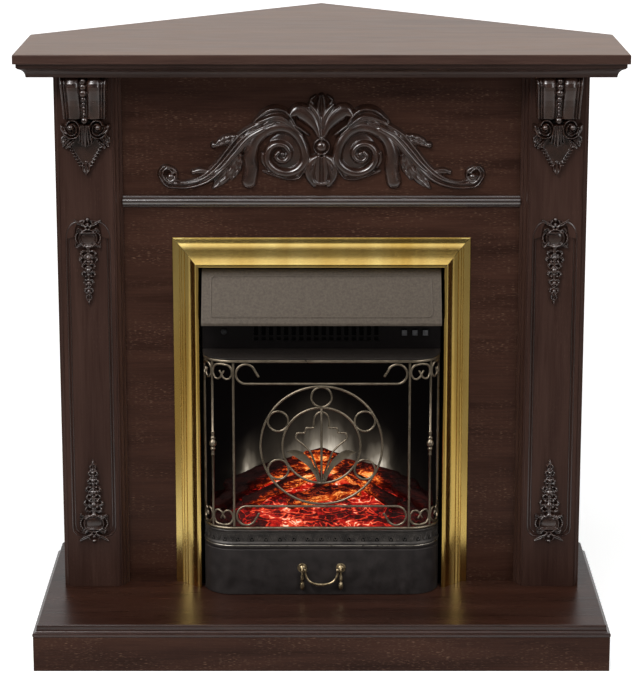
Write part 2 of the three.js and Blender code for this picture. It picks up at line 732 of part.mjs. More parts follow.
function buildGallery() {
  const stations = bowStations(bowEndY);
  const base = casingTop + seat;
  const section = [
    [0, base], [-1, base + 1.5], [0, base + 4], [1.2, base + 5], [1.2, galleryTop],
    [1.2 + gallerySheet, galleryTop], [1.2 + gallerySheet, base],
  ];
  const band = loft(stations.map((s) => section.map(([inset, z]) => point(...bow(s, inset), z))));
  const windows = [];
  const count = Math.floor(bowFlat / windowPitch);
  for (let i = -count; i <= count; i += 1) {
    const x = i * windowPitch;
    const low = base + windowFoot;
    windows.push(block(x - windowHalf, x + windowHalf, bowFrontY - 5, bowFrontY + 10, low, low + 6.5));
  }
  add('gallery_band', cut(band, ...windows), castDark);
}

function rail(name, z) {
  const stations = bowStations(bowEndY);
  const centreline = stations.map((s) => bow(s, railRadius));
  const rings = centreline.map(([x, y], i) => {
    const before = centreline[Math.max(i - 1, 0)];
    const after = centreline[Math.min(i + 1, centreline.length - 1)];
    const along = new THREE.Vector2(after[0] - before[0], after[1] - before[1]).normalize();
    return Array.from({ length: 6 }, (_, j) => {
      const angle = ((j + 0.5) / 6) * 2 * Math.PI;
      const side = railRadius * Math.cos(angle);
      return point(x - along.y * side, y + along.x * side, z + railRadius * Math.sin(angle));
    });
  });
  add(name, loft(rings), pewter);
}

const postLow = railBottomZ + railRadius + seat;
const postHigh = railTopZ - railRadius - seat;
const postMiddle = (postLow + postHigh) / 2;

function post(around) {
  const [x, y] = bow(around, railRadius);
  return bar([point(x, y, postLow), point(x, y, postHigh)], rodRadius, 4);
}

// Turned knuckle at mid height of a post: two barrels, two beads and a ball.
function knucklePost(around) {
  const [x, y] = bow(around, railRadius);
  const r = rodRadius;
  const half = [[r, 21], [r * 1.35, 20.4], [r * 1.35, 13], [r * 1.7, 9.5], [r, 7], [r * 2.1, 2.5]];
  const profile = [[0, postHigh - postMiddle], [r, postHigh - postMiddle], ...half,
    ...half.map(([radius, up]) => [radius, -up]).reverse(),
    [r, postLow - postMiddle], [0, postLow - postMiddle]];
  return turned(profile.reverse(), 6, point(x, y, postMiddle), 'z');
}

// A pair of scrolls under an arch, drawn on the bow between two posts; lift is 1 up, -1 down.
function heartScroll(centre, halfWidth, crown, lift) {
  const drawn = [
    [0, 0], [0.55, -2], [0.88, -8], [1, -15], [0.8, -24], [0.42, -28], [0.05, -20], [-0.3, -11],
  ];
  return [1, -1].map((side) => bar(smooth(drawn.map(([share, down]) => {
    const [x, y] = bow(centre + side * share * (halfWidth - rodRadius), railRadius);
    return point(x, y, crown + lift * down);
  }), 5), (t) => rodRadius * (1.05 - 0.35 * t), 4));
}

function buildGrille() {
  rail('grille_rail_bottom', railBottomZ);
  rail('grille_rail_top', railTopZ);
  const pieces = [post(innerPostAt), knucklePost(knucklePostAt), post(endPostAt)];
  for (const [from, to] of [[innerPostAt, knucklePostAt], [knucklePostAt, endPostAt]]) {
    const centre = (from + to) / 2;
    const halfWidth = (to - from) / 2 + 0.6;
    pieces.push(...heartScroll(centre, halfWidth, postHigh - rodRadius * 1.4, 1));
    pieces.push(...heartScroll(centre, halfWidth, postLow + rodRadius * 1.4, -1));
  }
  addPair('grille_corner', join(...pieces), pewter);
}

const grilleY = bowFrontY + railRadius;
const rosetteZ = postMiddle;

function ringBar(cx, cz, radius, thickness, steps, sides) {
  const points = Array.from({ length: steps }, (_, i) => {
    const angle = (i / steps) * 2 * Math.PI;
    return point(cx + radius * Math.cos(angle), grilleY, cz + radius * Math.sin(angle));
  });
  const spoke = thickness / Math.cos(Math.PI / sides);
  const rings = points.map((p, i) => {
    const angle = (i / steps) * 2 * Math.PI;
    return Array.from({ length: sides }, (_, j) => {
      const turn = ((j + 0.5) / sides) * 2 * Math.PI;
      const out = spoke * Math.cos(turn);
      return point(p.x + out * Math.cos(angle), grilleY + spoke * Math.sin(turn), p.z + out * Math.sin(angle));
    });
  });
  return loft(rings, true);
}

const onGrille = (path) => path.map(([x, z]) => point(x, grilleY, rosetteZ + z));

// Flat blade cut from plate, lying in the plane of the grille.
function blade(outline, thickness) {
  return prismY(outline.map(([x, z]) => [x, rosetteZ + z]), grilleY - thickness / 2, grilleY + thickness / 2);
}

function buildRosette() {
  const k = innerRingRadius / 67;
  const scaled = (path) => path.map(([x, z]) => [x * k, z * k]);
  const betweenRadius = (rosetteRadius + innerRingRadius) / 2;
  const smallRadius = (rosetteRadius - innerRingRadius) / 2;
  const half = [
    bar(onGrille(scaled([[0, 66], [10, 56], [13.5, 45], [12, 32], [25, 31], [29, 22.5], [41, 22], [43.5, 13],
      [32, 3], [19, -11], [12, -30], [2, -65]])), rodRadius * 0.85, 4),
    blade(scaled([[60, -12.5], [44, -8.5], [31, -14], [18, -26], [9, -46], [3, -66], [8, -66], [14, -48], [26, -32],
      [38, -20], [50, -15]]), rodRadius * 1.2),
  ];
  const rosette = join(
    ringBar(0, rosetteZ, rosetteRadius, rodRadius, 32, 4),
    ringBar(0, rosetteZ, innerRingRadius, rodRadius, 24, 4),
    ...[90, 30, 150, 210, 330].map((degrees) => {
      const angle = THREE.MathUtils.degToRad(degrees);
      return ringBar(betweenRadius * Math.cos(angle), rosetteZ + betweenRadius * Math.sin(angle), smallRadius,
        rodRadius * 0.9, 10, 4);
    }),
    bar([point(0, grilleY, rosetteZ + innerRingRadius), point(0, grilleY, rosetteZ - innerRingRadius)], rodRadius, 4),
    ...half, ...half.map(mirroredX),
  );
  add('rosette', rosette, pewter);
}

// A level bar whose ends curl outwards into circles; lift is 1 for curls above, -1 for below.
function scrollBar(name, lift) {
  const z = rosetteZ + lift * (rosetteRadius + rodRadius * 2 + seat);
  const room = innerPostAt - rodRadius * 2 - seat;
  const railEdge = lift > 0 ? postHigh : postLow;
  const curl = (Math.abs(railEdge - z) - rodRadius) / 2;
  const centreX = room - curl;
  const half = [[centreX - curl / 2, 0]];
  for (let i = 0; i <= 9; i += 1) {
    const angle = -Math.PI / 2 + (i / 9) * 1.72 * Math.PI;
    const radius = curl * (1 - 0.28 * Math.max(0, i / 9 - 0.6));
    half.push([centreX + radius * Math.cos(angle), curl + radius * Math.sin(angle)]);
  }
  const path = [...half.map(([x, up]) => [-x, up]).reverse(), ...half];
  add(name, bar(path.map(([x, up]) => point(x, grilleY, z + lift * up)), rodRadius, 4), pewter);
}

// ---- Hood, fascia and switches ----------------------------------------------------------------

const hoodTop = trimOpeningTop - housingGap;
const hoodBottom = hoodTop - hoodHeight;
const hoodBackY = mouthY - seat;
const hoodHalf = housingHalf;

function buildHood() {
  const topY = hoodBackY - 1;
  const lipY = topY - hoodSlope;
  const outside = [
    [hoodBackY, hoodBottom], [lipY, hoodBottom], [lipY, hoodBottom + hoodLip],
    [topY, hoodTop], [hoodBackY, hoodTop],
  ];
  const t = hoodSheet;
  const inside = [
    [hoodBackY + 5, hoodBottom - 5], [lipY + t, hoodBottom - 5], [lipY + t, hoodBottom + hoodLip],
    [topY + t * 0.3, hoodTop - t], [hoodBackY + 5, hoodTop - t],
  ];
  const skin = cut(prismX(outside, -hoodHalf, hoodHalf), prismX(inside, -hoodHalf + t, hoodHalf - t));
  // Raised border line pressed into the face, drawn flat as a rounded loop and leaned back.
  const slope = Math.atan2(hoodSlope, hoodHeight - hoodLip);
  const faceLength = Math.hypot(hoodSlope, hoodHeight - hoodLip);
  const loop = (inset, out) => {
    const corner = 8 - inset;
    const x = hoodHalf - hoodBorder - inset - corner;
    const low = 10 + inset + corner;
    const high = faceLength - 12 - inset - corner;
    const corners = [[x, high], [-x, high], [-x, low], [x, low]];
    return corners.flatMap(([cx, cz], quarter) => [0, 1, 2].map((step) => {
      const angle = (quarter + step / 2) * (Math.PI / 2);
      return point(cx + corner * Math.cos(angle), out, cz + corner * Math.sin(angle));
    }));
  };
  const section = [[0, 0.2], [0.27, -1.2], [0.73, -1.2], [1, 0.2], [0.8, 1], [0.2, 1]];
  const frame = loft(section.map(([share, out]) => loop(share * hoodBead, out)), true);
  frame.rotateX(-slope);
  frame.translate(0, lipY, hoodBottom + hoodLip);
  add('hood', join(skin, frame), hoodGrey);
}

const fasciaY = mouthY - seat - fasciaSheet - fasciaStep;
const fasciaTop = railTopZ + fasciaHeight;
const canopyZ = railTopZ + railRadius + seat;

// Plate over the grille: its front edge follows the bow and its back edge meets the fascia.
function buildCanopy() {
  const backY = fasciaY - seat;
  const rings = bowStations(backY).map((s) => {
    const [x, y] = bow(s, 0);
    const frontY = Math.min(y, backY - canopySheet);
    return [
      point(x, frontY, canopyZ), point(x, frontY, canopyZ + canopySheet),
      point(x, backY, canopyZ + canopyRise + canopySheet), point(x, backY, canopyZ + canopyRise),
    ];
  });
  add('canopy_plate', loft(rings), blackSheet);
}

function buildFascia() {
  const half = housingHalf;
  const foot = canopyZ + fasciaFoot;
  const back = fasciaY + fasciaStep;
  const line = [[fasciaY, fasciaTop], [fasciaY, foot], [back, foot], [back, canopyZ]];
  const panel = prismX(sheet(line, fasciaSheet), -half, half);
  const slots = [];
  const firstColumn = -(slotColumns - 1) / 2;
  for (let i = 0; i < slotColumns; i += 1) {
    const x = (firstColumn + i) * slotPitch - slotShift;
    for (const [low, high] of [[26, 8], [35, 29]]) {
      slots.push(block(x - slotHalf, x + slotHalf, fasciaY - 4, fasciaY + 5, fasciaTop - low, fasciaTop - high));
    }
  }
  const rockerHoles = rockerPlaces().map((x) => (
    block(x - rockerRoom, x + rockerRoom, fasciaY - 4, fasciaY + 5, rockerZ - 6, rockerZ + 6)
  ));
  add('control_fascia', cut(panel, ...slots, ...rockerHoles), blackSheet);
}

const rockerZ = fasciaTop - 20;
const rockerCentre = housingHalf - rockerInset;
const rockerRoom = rockerSize / 2 + 0.5;
const rockerPlaces = () => [-1, 0, 1].map((i) => rockerCentre + i * rockerPitch);

function buildSwitches() {
  const half = rockerSize / 2;
  // Side view of a rocker about its pivot: a shallow vee outside, a body behind.
  const profile = [[-2.6, -5.2], [-1.4, 0], [-2.6, 5.2], [2.2, 3.4], [2.2, -3.4]];
  rockerPlaces().forEach((x, i) => {
    const rocker = add(`rocker_switch_${i + 1}`, prismX(profile, -half, half), blackPlastic);
    rocker.position.set(x, fasciaY - 0.6, rockerZ);
    rocker.rotation.x = THREE.MathUtils.degToRad(rockerTilt);
  });
  const window = turned([[0, 0], [5, 0], [5, 1.6], [3.5, 3], [0, 3.4]], 8, point(0, 0, 0), 'z');
  window.rotateX(Math.PI / 2);
  window.translate(-rockerCentre - 7, fasciaY - seat, rockerZ + 1);
  add('receiver_window', window, blackPlastic);
}

// ---- Handle on the false ash pan --------------------------------------------------------------

const handleZ = frameBottom + 49;
const pivotY = bowFrontY - 12;

function buildHandle() {
  const x = handleSpacing / 2;
  const face = bowFrontY - seat;
  // Round rose with a boss, and a pear drop hanging under it.
  const rose = turned([
    [0, 0], [roseRadius, 0], [roseRadius, 1.4], [roseRadius - 1.5, 2.8], [roseRadius - 3, 3.2],
    [2.6, 5.6], [0, 6],
  ], 8, point(0, 0, 0), 'z');
  rose.rotateX(Math.PI / 2);
  rose.translate(0, face, 0);
  const lug = bar([point(0, face - 3, -1), point(0, pivotY - 2, -1)], 1.8);
  const drop = turned([
    [0, -handleDrop - 13], [4.2, -handleDrop - 4], [2, -handleDrop + 3], [2.8, -9], [2.8, -3], [0, -2],
  ], 6, point(0, face - 4.8, 0), 'z');
  const mount = join(rose, lug, drop);
  mount.translate(x, 0, handleZ);
  addPair('handle_plate', mount, antiqueBrass);

  // The bail hangs from the bosses: eyes at its ends, a swell in its middle.
  const eye = 3.4;
  const ends = x - 5;
  const falling = [
    point(ends, 0, 0), point(ends - 1, 0, -8), point(ends - 9, -1, -handleDrop * 0.8),
  ];
  const rising = falling.map((p) => point(-p.x, p.y, p.z));
  const line = smooth([...rising, point(0, -1.5, -handleDrop), ...falling.reverse()], 14);
  const bail = bar(line, (t) => 1.7 + 1.5 * Math.max(0, 1 - Math.abs(t - 0.5) * 5), 5);
  const hubs = [-1, 1].map((side) => (
    bar([point(side * (ends - 2), 0, 0), point(side * (x - 2.3), 0, 0)], eye)
  ));
  const mesh = add('handle_bail', join(bail, ...hubs), antiqueBrass);
  mesh.position.set(0, pivotY, handleZ - 1);
}

// ---- Housing and what is in it ------------------------------------------------------------------

const housingBackY = mouthY + housingDepth;
const screenY = panelY + screenSetback;
const bedBase = casingTop + seat;

function buildHousing() {
  const t = housingSheet;
  const outside = block(-housingHalf, housingHalf, mouthY, housingBackY, frameBottom, housingTop);
  const wide = housingHalf - t;
  const inside = block(-wide, wide, mouthY - 5, housingBackY - t, frameBottom + t, housingTop - t);
  add('housing', cut(outside, inside), galvanised);
}

function buildFlameScreen() {
  const half = housingHalf - housingSheet - seat;
  const low = frameBottom + housingSheet + seat;
  const top = low + screenHeight + casingHeight;
  add('flame_screen', block(-half, half, screenY, screenY + 3, low, top), flameWhite);
}

// Heap of embers: a crowned surface over a plan that follows the bow.
function emberHeight(across, back) {
  const crown = 1 - 0.55 * across * across;
  const rough = 5 * Math.sin(across * 13 + back * 4) * Math.cos(back * 9 - across * 5);
  return bedBase + bedTray + bedRise * (back + 0.25 * Math.sin(back * 3)) * crown + rough;
}

function emberBed() {
  const columns = 12;
  const rows = 5;
  const frontY = bowFrontY + bedMargin;
  const backY = screenY - seat;
  const halfAt = (y) => {
    const into = Math.max(bowFrontY + bowRadius - y, 0);
    return bowFlat + Math.sqrt(Math.max(bowRadius ** 2 - into ** 2, 0)) - bedMargin;
  };
  const rings = [];
  for (let j = 0; j <= rows; j += 1) {
    const back = j / rows;
    const y = frontY + (backY - frontY) * back;
    const half = halfAt(y);
    const ring = [];
    for (let i = 0; i <= columns; i += 1) {
      const across = (2 * i) / columns - 1;
      ring.push(point(across * half, y, emberHeight(across, back)));
    }
    ring.push(point(half, y, bedBase), point(-half, y, bedBase));
    rings.push(ring);
  }
  return loft(rings);
}

// Each log's two ends as [share of the half width, share of the bed's depth, lift in mm], and
// its girth as a share of the log radius.
const logPlaces = {
  log_left: { from: [-0.775, 0.62, 6], to: [-0.147, 0.82, 14], girth: 1 },
  log_right: { from: [0.775, 0.66, 6], to: [0.118, 0.82, 14], girth: 1.05 },
  log_front: { from: [-0.255, 0.28, 8], to: [0.304, 0.42, 8], girth: 0.75 },
};

function logSpine({ from, to }) {
  const frontY = bowFrontY + bedMargin;
  const depth = screenY - seat - frontY;
  const ends = [from, to].map(([across, back, lift]) => (
    point(across * housingHalf, frontY + depth * back, emberHeight(across, back) + lift)
  ));
  const middle = ends[0].clone().add(ends[1]).multiplyScalar(0.5).add(point(0, -4, 5));
  return smooth([ends[0], middle, ends[1]], 6);
}

function logBar(place, grow) {
  const knots = (t) => 1 + 0.1 * Math.sin(t * 11 + place.girth * 9) - 0.18 * t;
  return bar(logSpine(place), (t) => logRadius * place.girth * knots(t) + grow, 6);
}

function buildFuel() {
  let bed = solid(emberBed());
  for (const [name, place] of Object.entries(logPlaces)) {
    add(name, logBar(place, 0), logBrown);
    bed = bed.subtract(solid(logBar(place, seat)));
  }
  // The bed is a moulded tray, hollow below over the lamps.
  const wide = bowFlat - 4;
  const hollow = block(-wide, wide, bowFrontY + 30, screenY - 12, bedBase - 5, bedBase + bedTray);
  bed = bed.subtract(solid(hollow));
  add('ember_bed', geometryOf(bed), emberRed);
}

const floorZ = frameBottom + housingSheet + seat;

function buildLamps() {
  const y = panelY + 30;
  const bracket = sheet([[y - 14, floorZ], [y + 14, floorZ], [y + 14, floorZ + 32]], 2);
  const lamp = [[0, 0], [9, 0], [9, 12], [13, 20], [17, 34], [13, 46], [0, 50]];
  const pieces = [
    prismX(bracket, -lampReach * 2, lampReach * 2),
    ...[-lampReach, lampReach].map((x) => turned(lamp, 6, point(x, y, floorZ + 1), 'z')),
  ];
  add('lamp_bar', join(...pieces), lampGlass);
}

const rotorY = screenY + rotorSetback;
const rotorZ = casingTop + rotorLift;
const motorX = housingHalf - housingSheet - seat;

function buildRotor() {
  const length = motorX - 30;
  const spindle = bar([point(-motorX, 0, 0), point(length - seat, 0, 0)], 2.5, 5);
  const flags = [];
  const pitch = (2 * length - 40) / rotorFlags;
  for (let i = 0; i < rotorFlags; i += 1) {
    const flag = block(-pitch * 0.38, pitch * 0.38, -0.6, 0.6, -20, 20);
    flag.rotateX((i * Math.PI) / 5);
    flag.translate(-length + 20 + pitch * (i + 0.5), 0, 0);
    flags.push(flag);
  }
  add('flame_rotor', join(spindle, ...flags), galvanised).position.set(0, rotorY, rotorZ);
  const motor = join(
    block(motorX - 20, motorX, rotorY - 22, rotorY + 22, rotorZ - 22, rotorZ + 22),
    turned([[0, 0], [9, 0], [9, 9.5], [0, 9.5]], 10, point(motorX - 29.5, rotorY, rotorZ), 'x'),
  );
  add('rotor_motor', motor, blackPlastic);
}

const fanZ = railTopZ + fanLift;
const fanY = mouthY + fanSetback;
const fanHalf = housingHalf * fanReach;

function buildFan() {
  // Duct: a casing round the wheel that opens to the slots in the fascia.
  const y0 = mouthY + 6;
  const y1 = fanY + fanRadius + 14;
  const z0 = fanZ - fanRadius - 26;
  const z1 = housingTop - housingSheet - seat;
  const half = fanHalf + 8;
  const casing = block(-half, half, y0, y1, z0, z1);
  const well = prismX(Array.from({ length: 16 }, (_, i) => {
    const angle = (i / 16) * 2 * Math.PI;
    return [fanY + (fanRadius + 5) * Math.cos(angle), fanZ + (fanRadius + 5) * Math.sin(angle)];
  }), -fanHalf, fanHalf);
  const outlet = block(-fanHalf, fanHalf, y0 - 5, fanY, z0 + 3, fanZ);
  const shaftHole = prismX(Array.from({ length: 8 }, (_, i) => {
    const angle = (i / 8) * 2 * Math.PI;
    return [fanY + 4 * Math.cos(angle), fanZ + 4 * Math.sin(angle)];
  }), -half - 5, half + 5);
  add('fan_heater', cut(casing, well, outlet, shaftHole), galvanised);

  const shaft = bar([point(-half + 1, 0, 0), point(half - 1, 0, 0)], 3);
  const disc = [[0, 0], [fanRadius, 0], [fanRadius, 2], [0, 2]];
  const discs = [-fanHalf + 2, fanHalf - 4].map((x) => turned(disc, 8, point(x, 0, 0), 'x'));
  const blades = Array.from({ length: fanBlades }, (_, i) => {
    const vane = block(-fanHalf + 2, fanHalf - 2, -0.7, 0.7, fanRadius - 8, fanRadius - 0.5);
    vane.rotateX((i / fanBlades) * 2 * Math.PI + 0.1);
    return vane;
  });
  add('fan_wheel', join(shaft, ...discs, ...blades), blackPlastic).position.set(0, fanY, fanZ);
}

function buildInlet() {
  const gland = turned([[0, 0], [11, 0], [11, 4], [8, 5], [7, 14], [0, 14]], 10, point(0, 0, 0), 'z');
  gland.rotateX(-Math.PI / 2);
  gland.translate(housingHalf - 50, housingBackY + seat, frameBottom + 40);
  add('power_inlet', gland, blackPlastic);
}

// ---- Assembly ---------------------------------------------------------------------------------

buildHearth();
buildPilasters();
buildPanels();
buildMantel();
buildCorbels();
buildFriezeOrnament();
buildAppliques();
buildTrim();
buildHousing();
buildCasing();
buildGallery();
buildGrille();
buildRosette();
scrollBar('scroll_bar_upper', 1);
scrollBar('scroll_bar_lower', -1);
buildHood();
buildCanopy();
buildFascia();
buildSwitches();
buildHandle();
buildFlameScreen();
buildFuel();
buildLamps();
buildRotor();
buildFan();
buildInlet();

export default group;
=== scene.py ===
"""Looks of the corner fireplace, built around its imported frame.

Lengths are in millimetres and turn into metres where a mesh is made. +Z is up and the front
faces -Y, as in the frame. Places come from the frame's own boxes.
"""

import json
import math

import bmesh
import bpy
import numpy as np
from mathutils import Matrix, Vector


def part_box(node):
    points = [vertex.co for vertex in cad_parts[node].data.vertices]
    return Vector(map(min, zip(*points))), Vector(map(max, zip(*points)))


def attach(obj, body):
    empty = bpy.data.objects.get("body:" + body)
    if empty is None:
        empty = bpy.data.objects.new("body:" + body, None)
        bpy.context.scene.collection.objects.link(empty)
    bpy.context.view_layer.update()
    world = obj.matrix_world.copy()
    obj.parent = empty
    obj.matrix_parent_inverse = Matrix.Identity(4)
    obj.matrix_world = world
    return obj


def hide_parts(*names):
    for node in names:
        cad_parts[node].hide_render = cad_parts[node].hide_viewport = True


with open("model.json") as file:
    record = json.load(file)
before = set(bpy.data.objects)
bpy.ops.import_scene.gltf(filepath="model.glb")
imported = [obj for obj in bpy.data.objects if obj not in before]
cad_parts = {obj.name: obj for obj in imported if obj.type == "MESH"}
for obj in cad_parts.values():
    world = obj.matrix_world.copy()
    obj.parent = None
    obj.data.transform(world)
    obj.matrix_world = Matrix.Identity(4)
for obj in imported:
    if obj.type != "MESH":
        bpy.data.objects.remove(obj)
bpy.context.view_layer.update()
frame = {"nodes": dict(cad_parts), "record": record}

MM = 0.001
SURROUND = "surround"


# ---- Places read from the frame ----

def corners(node):
    """Lowest and highest corner of a CAD node, in millimetres."""
    low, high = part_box(node)
    return [c / MM for c in low], [c / MM for c in high]


(_, HEARTH_FRONT, HEARTH_LOW), (HEARTH_HALF, CORNER_Y, HEARTH_HIGH) = corners("hearth_top")
(_, MANTEL_FRONT, SLAB_LOW), (MANTEL_HALF, _, SLAB_HIGH) = corners("mantel_slab")
(_, _, MOULDING_LOW), (_, _, MOULDING_HIGH) = corners("mantel_moulding_front")
PILASTER_FACE = corners("pilaster_right")[0][1]
PILASTER_X = 396.5  # middle of the right pilaster
PANEL_FACE = corners("front_panel")[0][1]
(_, _, TRIM_LOW), (TRIM_HALF, _, _) = corners("trim_right")
TRIM_TOP = corners("trim_top")[1][2]
(_, BOW_FRONT, CASING_LOW), (BOW_HALF, BOW_END, CASING_TOP) = corners("fender_casing")
BOW_RADIUS = 52  # of its round corners
BOW_FLAT = BOW_HALF - BOW_RADIUS
QUARTER = BOW_RADIUS * math.pi / 2  # the way round one of them
(_, _, GALLERY_LOW), (_, _, GALLERY_TOP) = corners("gallery_band")
RAIL_RADIUS = (corners("grille_rail_top")[1][2] - corners("grille_rail_top")[0][2]) / 2
RAIL_LOW_Z = sum(corners("grille_rail_bottom")[i][2] for i in (0, 1)) / 2
RAIL_TOP_Z = sum(corners("grille_rail_top")[i][2] for i in (0, 1)) / 2
ROD = 2.1  # radius of the grille's rods
SEAT = 0.3  # gap between neighbours


# ---- Meshes ----

def piece(name, shape, material, slot, replaces=(), body=SURROUND, sharp=32.0):
    """A mesh object from (points in mm, faces), smooth up to an angle, riding on a body."""
    verts, faces = shape
    mesh = bpy.data.meshes.new(name)
    mesh.from_pydata((np.asarray(verts, float) * MM).tolist(), [], faces)
    tidy = bmesh.new()
    tidy.from_mesh(mesh)
    bmesh.ops.recalc_face_normals(tidy, faces=tidy.faces)
    tidy.to_mesh(mesh)
    tidy.free()
    mesh.shade_smooth()
    mesh.set_sharp_from_angle(angle=math.radians(sharp))
    mesh.materials.append(material)
    obj = bpy.data.objects.new(name, mesh)
    bpy.context.scene.collection.objects.link(obj)
    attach(obj, body)
    if replaces:
        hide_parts(*replaces)
    return obj


def pair(name, shape, material, slot, replaced=None, **settings):
    """A piece on the right and its mirror image on the left."""
    for side, form in (("right", shape), ("left", mirrored(shape))):
        nodes = [f"{replaced}_{side}"] if replaced else []
        piece(f"{name}_{side}", form, material, slot, nodes, **settings)


def bevel(obj, width, segments=2, angle=35.0):
    """Rounds an object's sharp edges by a width in mm."""
    modifier = obj.modifiers.new("edges", "BEVEL")
    modifier.width = width * MM
    modifier.segments = segments
    modifier.limit_method = "ANGLE"
    modifier.angle_limit = math.radians(angle)
    modifier.harden_normals = True
    return obj


def merge(*shapes):
    """One (points, faces) pair from several."""
    verts, faces = [], []
    for points, polygons in shapes:
        base = len(verts)
        verts.extend(tuple(p) for p in points)
        faces.extend(tuple(base + i for i in polygon) for polygon in polygons)
    return verts, faces


def mirrored(shape):
    """The shape on the other side of x = 0."""
    verts, faces = shape
    return [(-x, y, z) for x, y, z in verts], faces


def pushed_back(shape, distance):
    """The shape moved along y."""
    verts, faces = shape
    return [(x, y + distance, z) for x, y, z in verts], faces


def middle(low, high):
    """Centre of a box."""
    return [(a + b) / 2 for a, b in zip(low, high)]


def loft(rings, endless=False):
    """Skin over rings of equal point counts, capped, or joined end to start."""
    count = len(rings[0])
    verts = [tuple(p) for ring in rings for p in ring]
    faces = []
    for i in range(len(rings) if endless else len(rings) - 1):
        low, high = i * count, ((i + 1) % len(rings)) * count
        for j in range(count):
            k = (j + 1) % count
            faces.append((low + j, low + k, high + k, high + j))
    if not endless:
        faces.append(tuple(range(count)))
        faces.append(tuple(range(len(verts) - count, len(verts))))
    return verts, faces


def smooth(points, steps):
    """Points evenly spaced along a centripetal curve through the points given, in 2-D or 3-D."""
    points = np.asarray(points, float)
    if len(points) == 2:
        share = np.linspace(0, 1, steps + 1)[:, None]
        return points[0] + (points[1] - points[0]) * share
    padded = np.vstack([2 * points[0] - points[1], points, 2 * points[-1] - points[-2]])
    dense = [points[0]]
    for i in range(1, len(padded) - 2):
        p0, p1, p2, p3 = padded[i - 1:i + 3]
        spans = [max(np.linalg.norm(q - p), 1e-6) ** 0.5 for p, q in ((p0, p1), (p1, p2), (p2, p3))]
        k0, k1, k2, k3 = np.cumsum([0.0] + spans)
        for t in np.linspace(k1, k2, 17)[1:]:
            a1 = (p0 * (k1 - t) + p1 * (t - k0)) / (k1 - k0)
            a2 = (p1 * (k2 - t) + p2 * (t - k1)) / (k2 - k1)
            a3 = (p2 * (k3 - t) + p3 * (t - k2)) / (k3 - k2)
            b1 = (a1 * (k2 - t) + a2 * (t - k0)) / (k2 - k0)
            b2 = (a2 * (k3 - t) + a3 * (t - k1)) / (k3 - k1)
            dense.append((b1 * (k2 - t) + b2 * (t - k1)) / (k2 - k1))
    dense = np.array(dense)
    along = np.concatenate([[0], np.cumsum(np.linalg.norm(np.diff(dense, axis=0), axis=1))])
    wanted = np.linspace(0, along[-1], steps + 1)
    return np.stack([np.interp(wanted, along, dense[:, k]) for k in range(dense.shape[1])], axis=1)


def tube(path, radius, sides=12, endless=False, normal=(0, 1, 0)):
    """A bar along a path; radius is a number or a function of 0..1."""
    path = np.asarray(path, float)
    count = len(path)
    if endless:
        tangents = np.roll(path, -1, 0) - np.roll(path, 1, 0)
    else:
        tangents = np.gradient(path, axis=0)
    tangents /= np.linalg.norm(tangents, axis=1)[:, None]
    side = np.array(normal, float)
    if abs(side @ tangents[0]) > 0.9:
        side = np.array((1.0, 0.0, 0.0))
    turn = np.arange(sides) / sides * 2 * math.pi
    rings = []
    for i in range(count):
        side = side - tangents[i] * (side @ tangents[i])
        side /= np.linalg.norm(side)
        across = np.cross(tangents[i], side)
        size = radius(i / max(count - 1, 1)) if callable(radius) else radius
        rings.append(path[i] + size * (np.cos(turn)[:, None] * side + np.sin(turn)[:, None] * across))
    if not endless:
        # Rounded ends: one smaller ring beyond each end.
        for end, sign in ((0, -1), (-1, 1)):
            size = radius(0 if end == 0 else 1) if callable(radius) else radius
            centre = path[end]
            tip = centre + (rings[end] - centre) * 0.6 + sign * tangents[end] * size * 0.45
            rings.insert(0, tip) if end == 0 else rings.append(tip)
    return loft(rings, endless)


def turned(profile, centre, axis="z", segments=24):
    """A body of revolution: profile of (radius, height) about a line through the centre."""
    rings = []
    for radius, height in profile:
        ring = []
        for j in range(segments):
            angle = j / segments * 2 * math.pi
            a, b = max(radius, 0.01) * math.cos(angle), max(radius, 0.01) * math.sin(angle)
            offset = {"z": (a, b, height), "y": (a, height, b), "x": (height, a, b)}[axis]
            ring.append(tuple(c + o for c, o in zip(centre, offset)))
        rings.append(ring)
    return loft(rings)


def prism(outline, start, end, axis):
    """An outline pushed from start to end along an axis."""
    place = {
        "x": lambda a, b, c: (c, a, b),
        "y": lambda a, b, c: (a, c, b),
        "z": lambda a, b, c: (a, b, c),
    }[axis]
    return loft([[place(a, b, c) for a, b in outline] for c in (start, end)])


def arc(cx, cz, radius, start, end, steps):
    """Points round a circle, angles in degrees."""
    return [
        (cx + radius * math.cos(math.radians(a)), cz + radius * math.sin(math.radians(a)))
        for a in np.linspace(start, end, steps + 1)
    ]


# ---- Materials ----

def linear(red, green, blue):
    """A colour as it looks on a screen, 0 to 255, turned into linear light."""
    shares = [c / 255 for c in (red, green, blue)]
    return tuple(c / 12.92 if c <= 0.04045 else ((c + 0.055) / 1.055) ** 2.4 for c in shares) + (1.0,)


class Value:
    """The output of a node; each operator on it adds a math node."""

    def __init__(self, nodes, socket):
        self.nodes, self.socket = nodes, socket

    def operator(operation, swapped=False):
        def method(self, other=0.0):
            inputs = (other, self) if swapped else (self, other)
            return self.nodes.value("Math", 0, dict(enumerate(inputs)), operation=operation)
        return method

    __add__ = __radd__ = operator("ADD")
    __mul__ = __rmul__ = operator("MULTIPLY")
    __sub__, __rsub__ = operator("SUBTRACT"), operator("SUBTRACT", True)
    __truediv__, __rtruediv__ = operator("DIVIDE"), operator("DIVIDE", True)
    __pow__, __abs__, root = operator("POWER"), operator("ABSOLUTE"), operator("SQRT")
    at_least, above = operator("MAXIMUM"), operator("GREATER_THAN")

    def clamped(self):
        self.socket.node.use_clamp = True
        return self


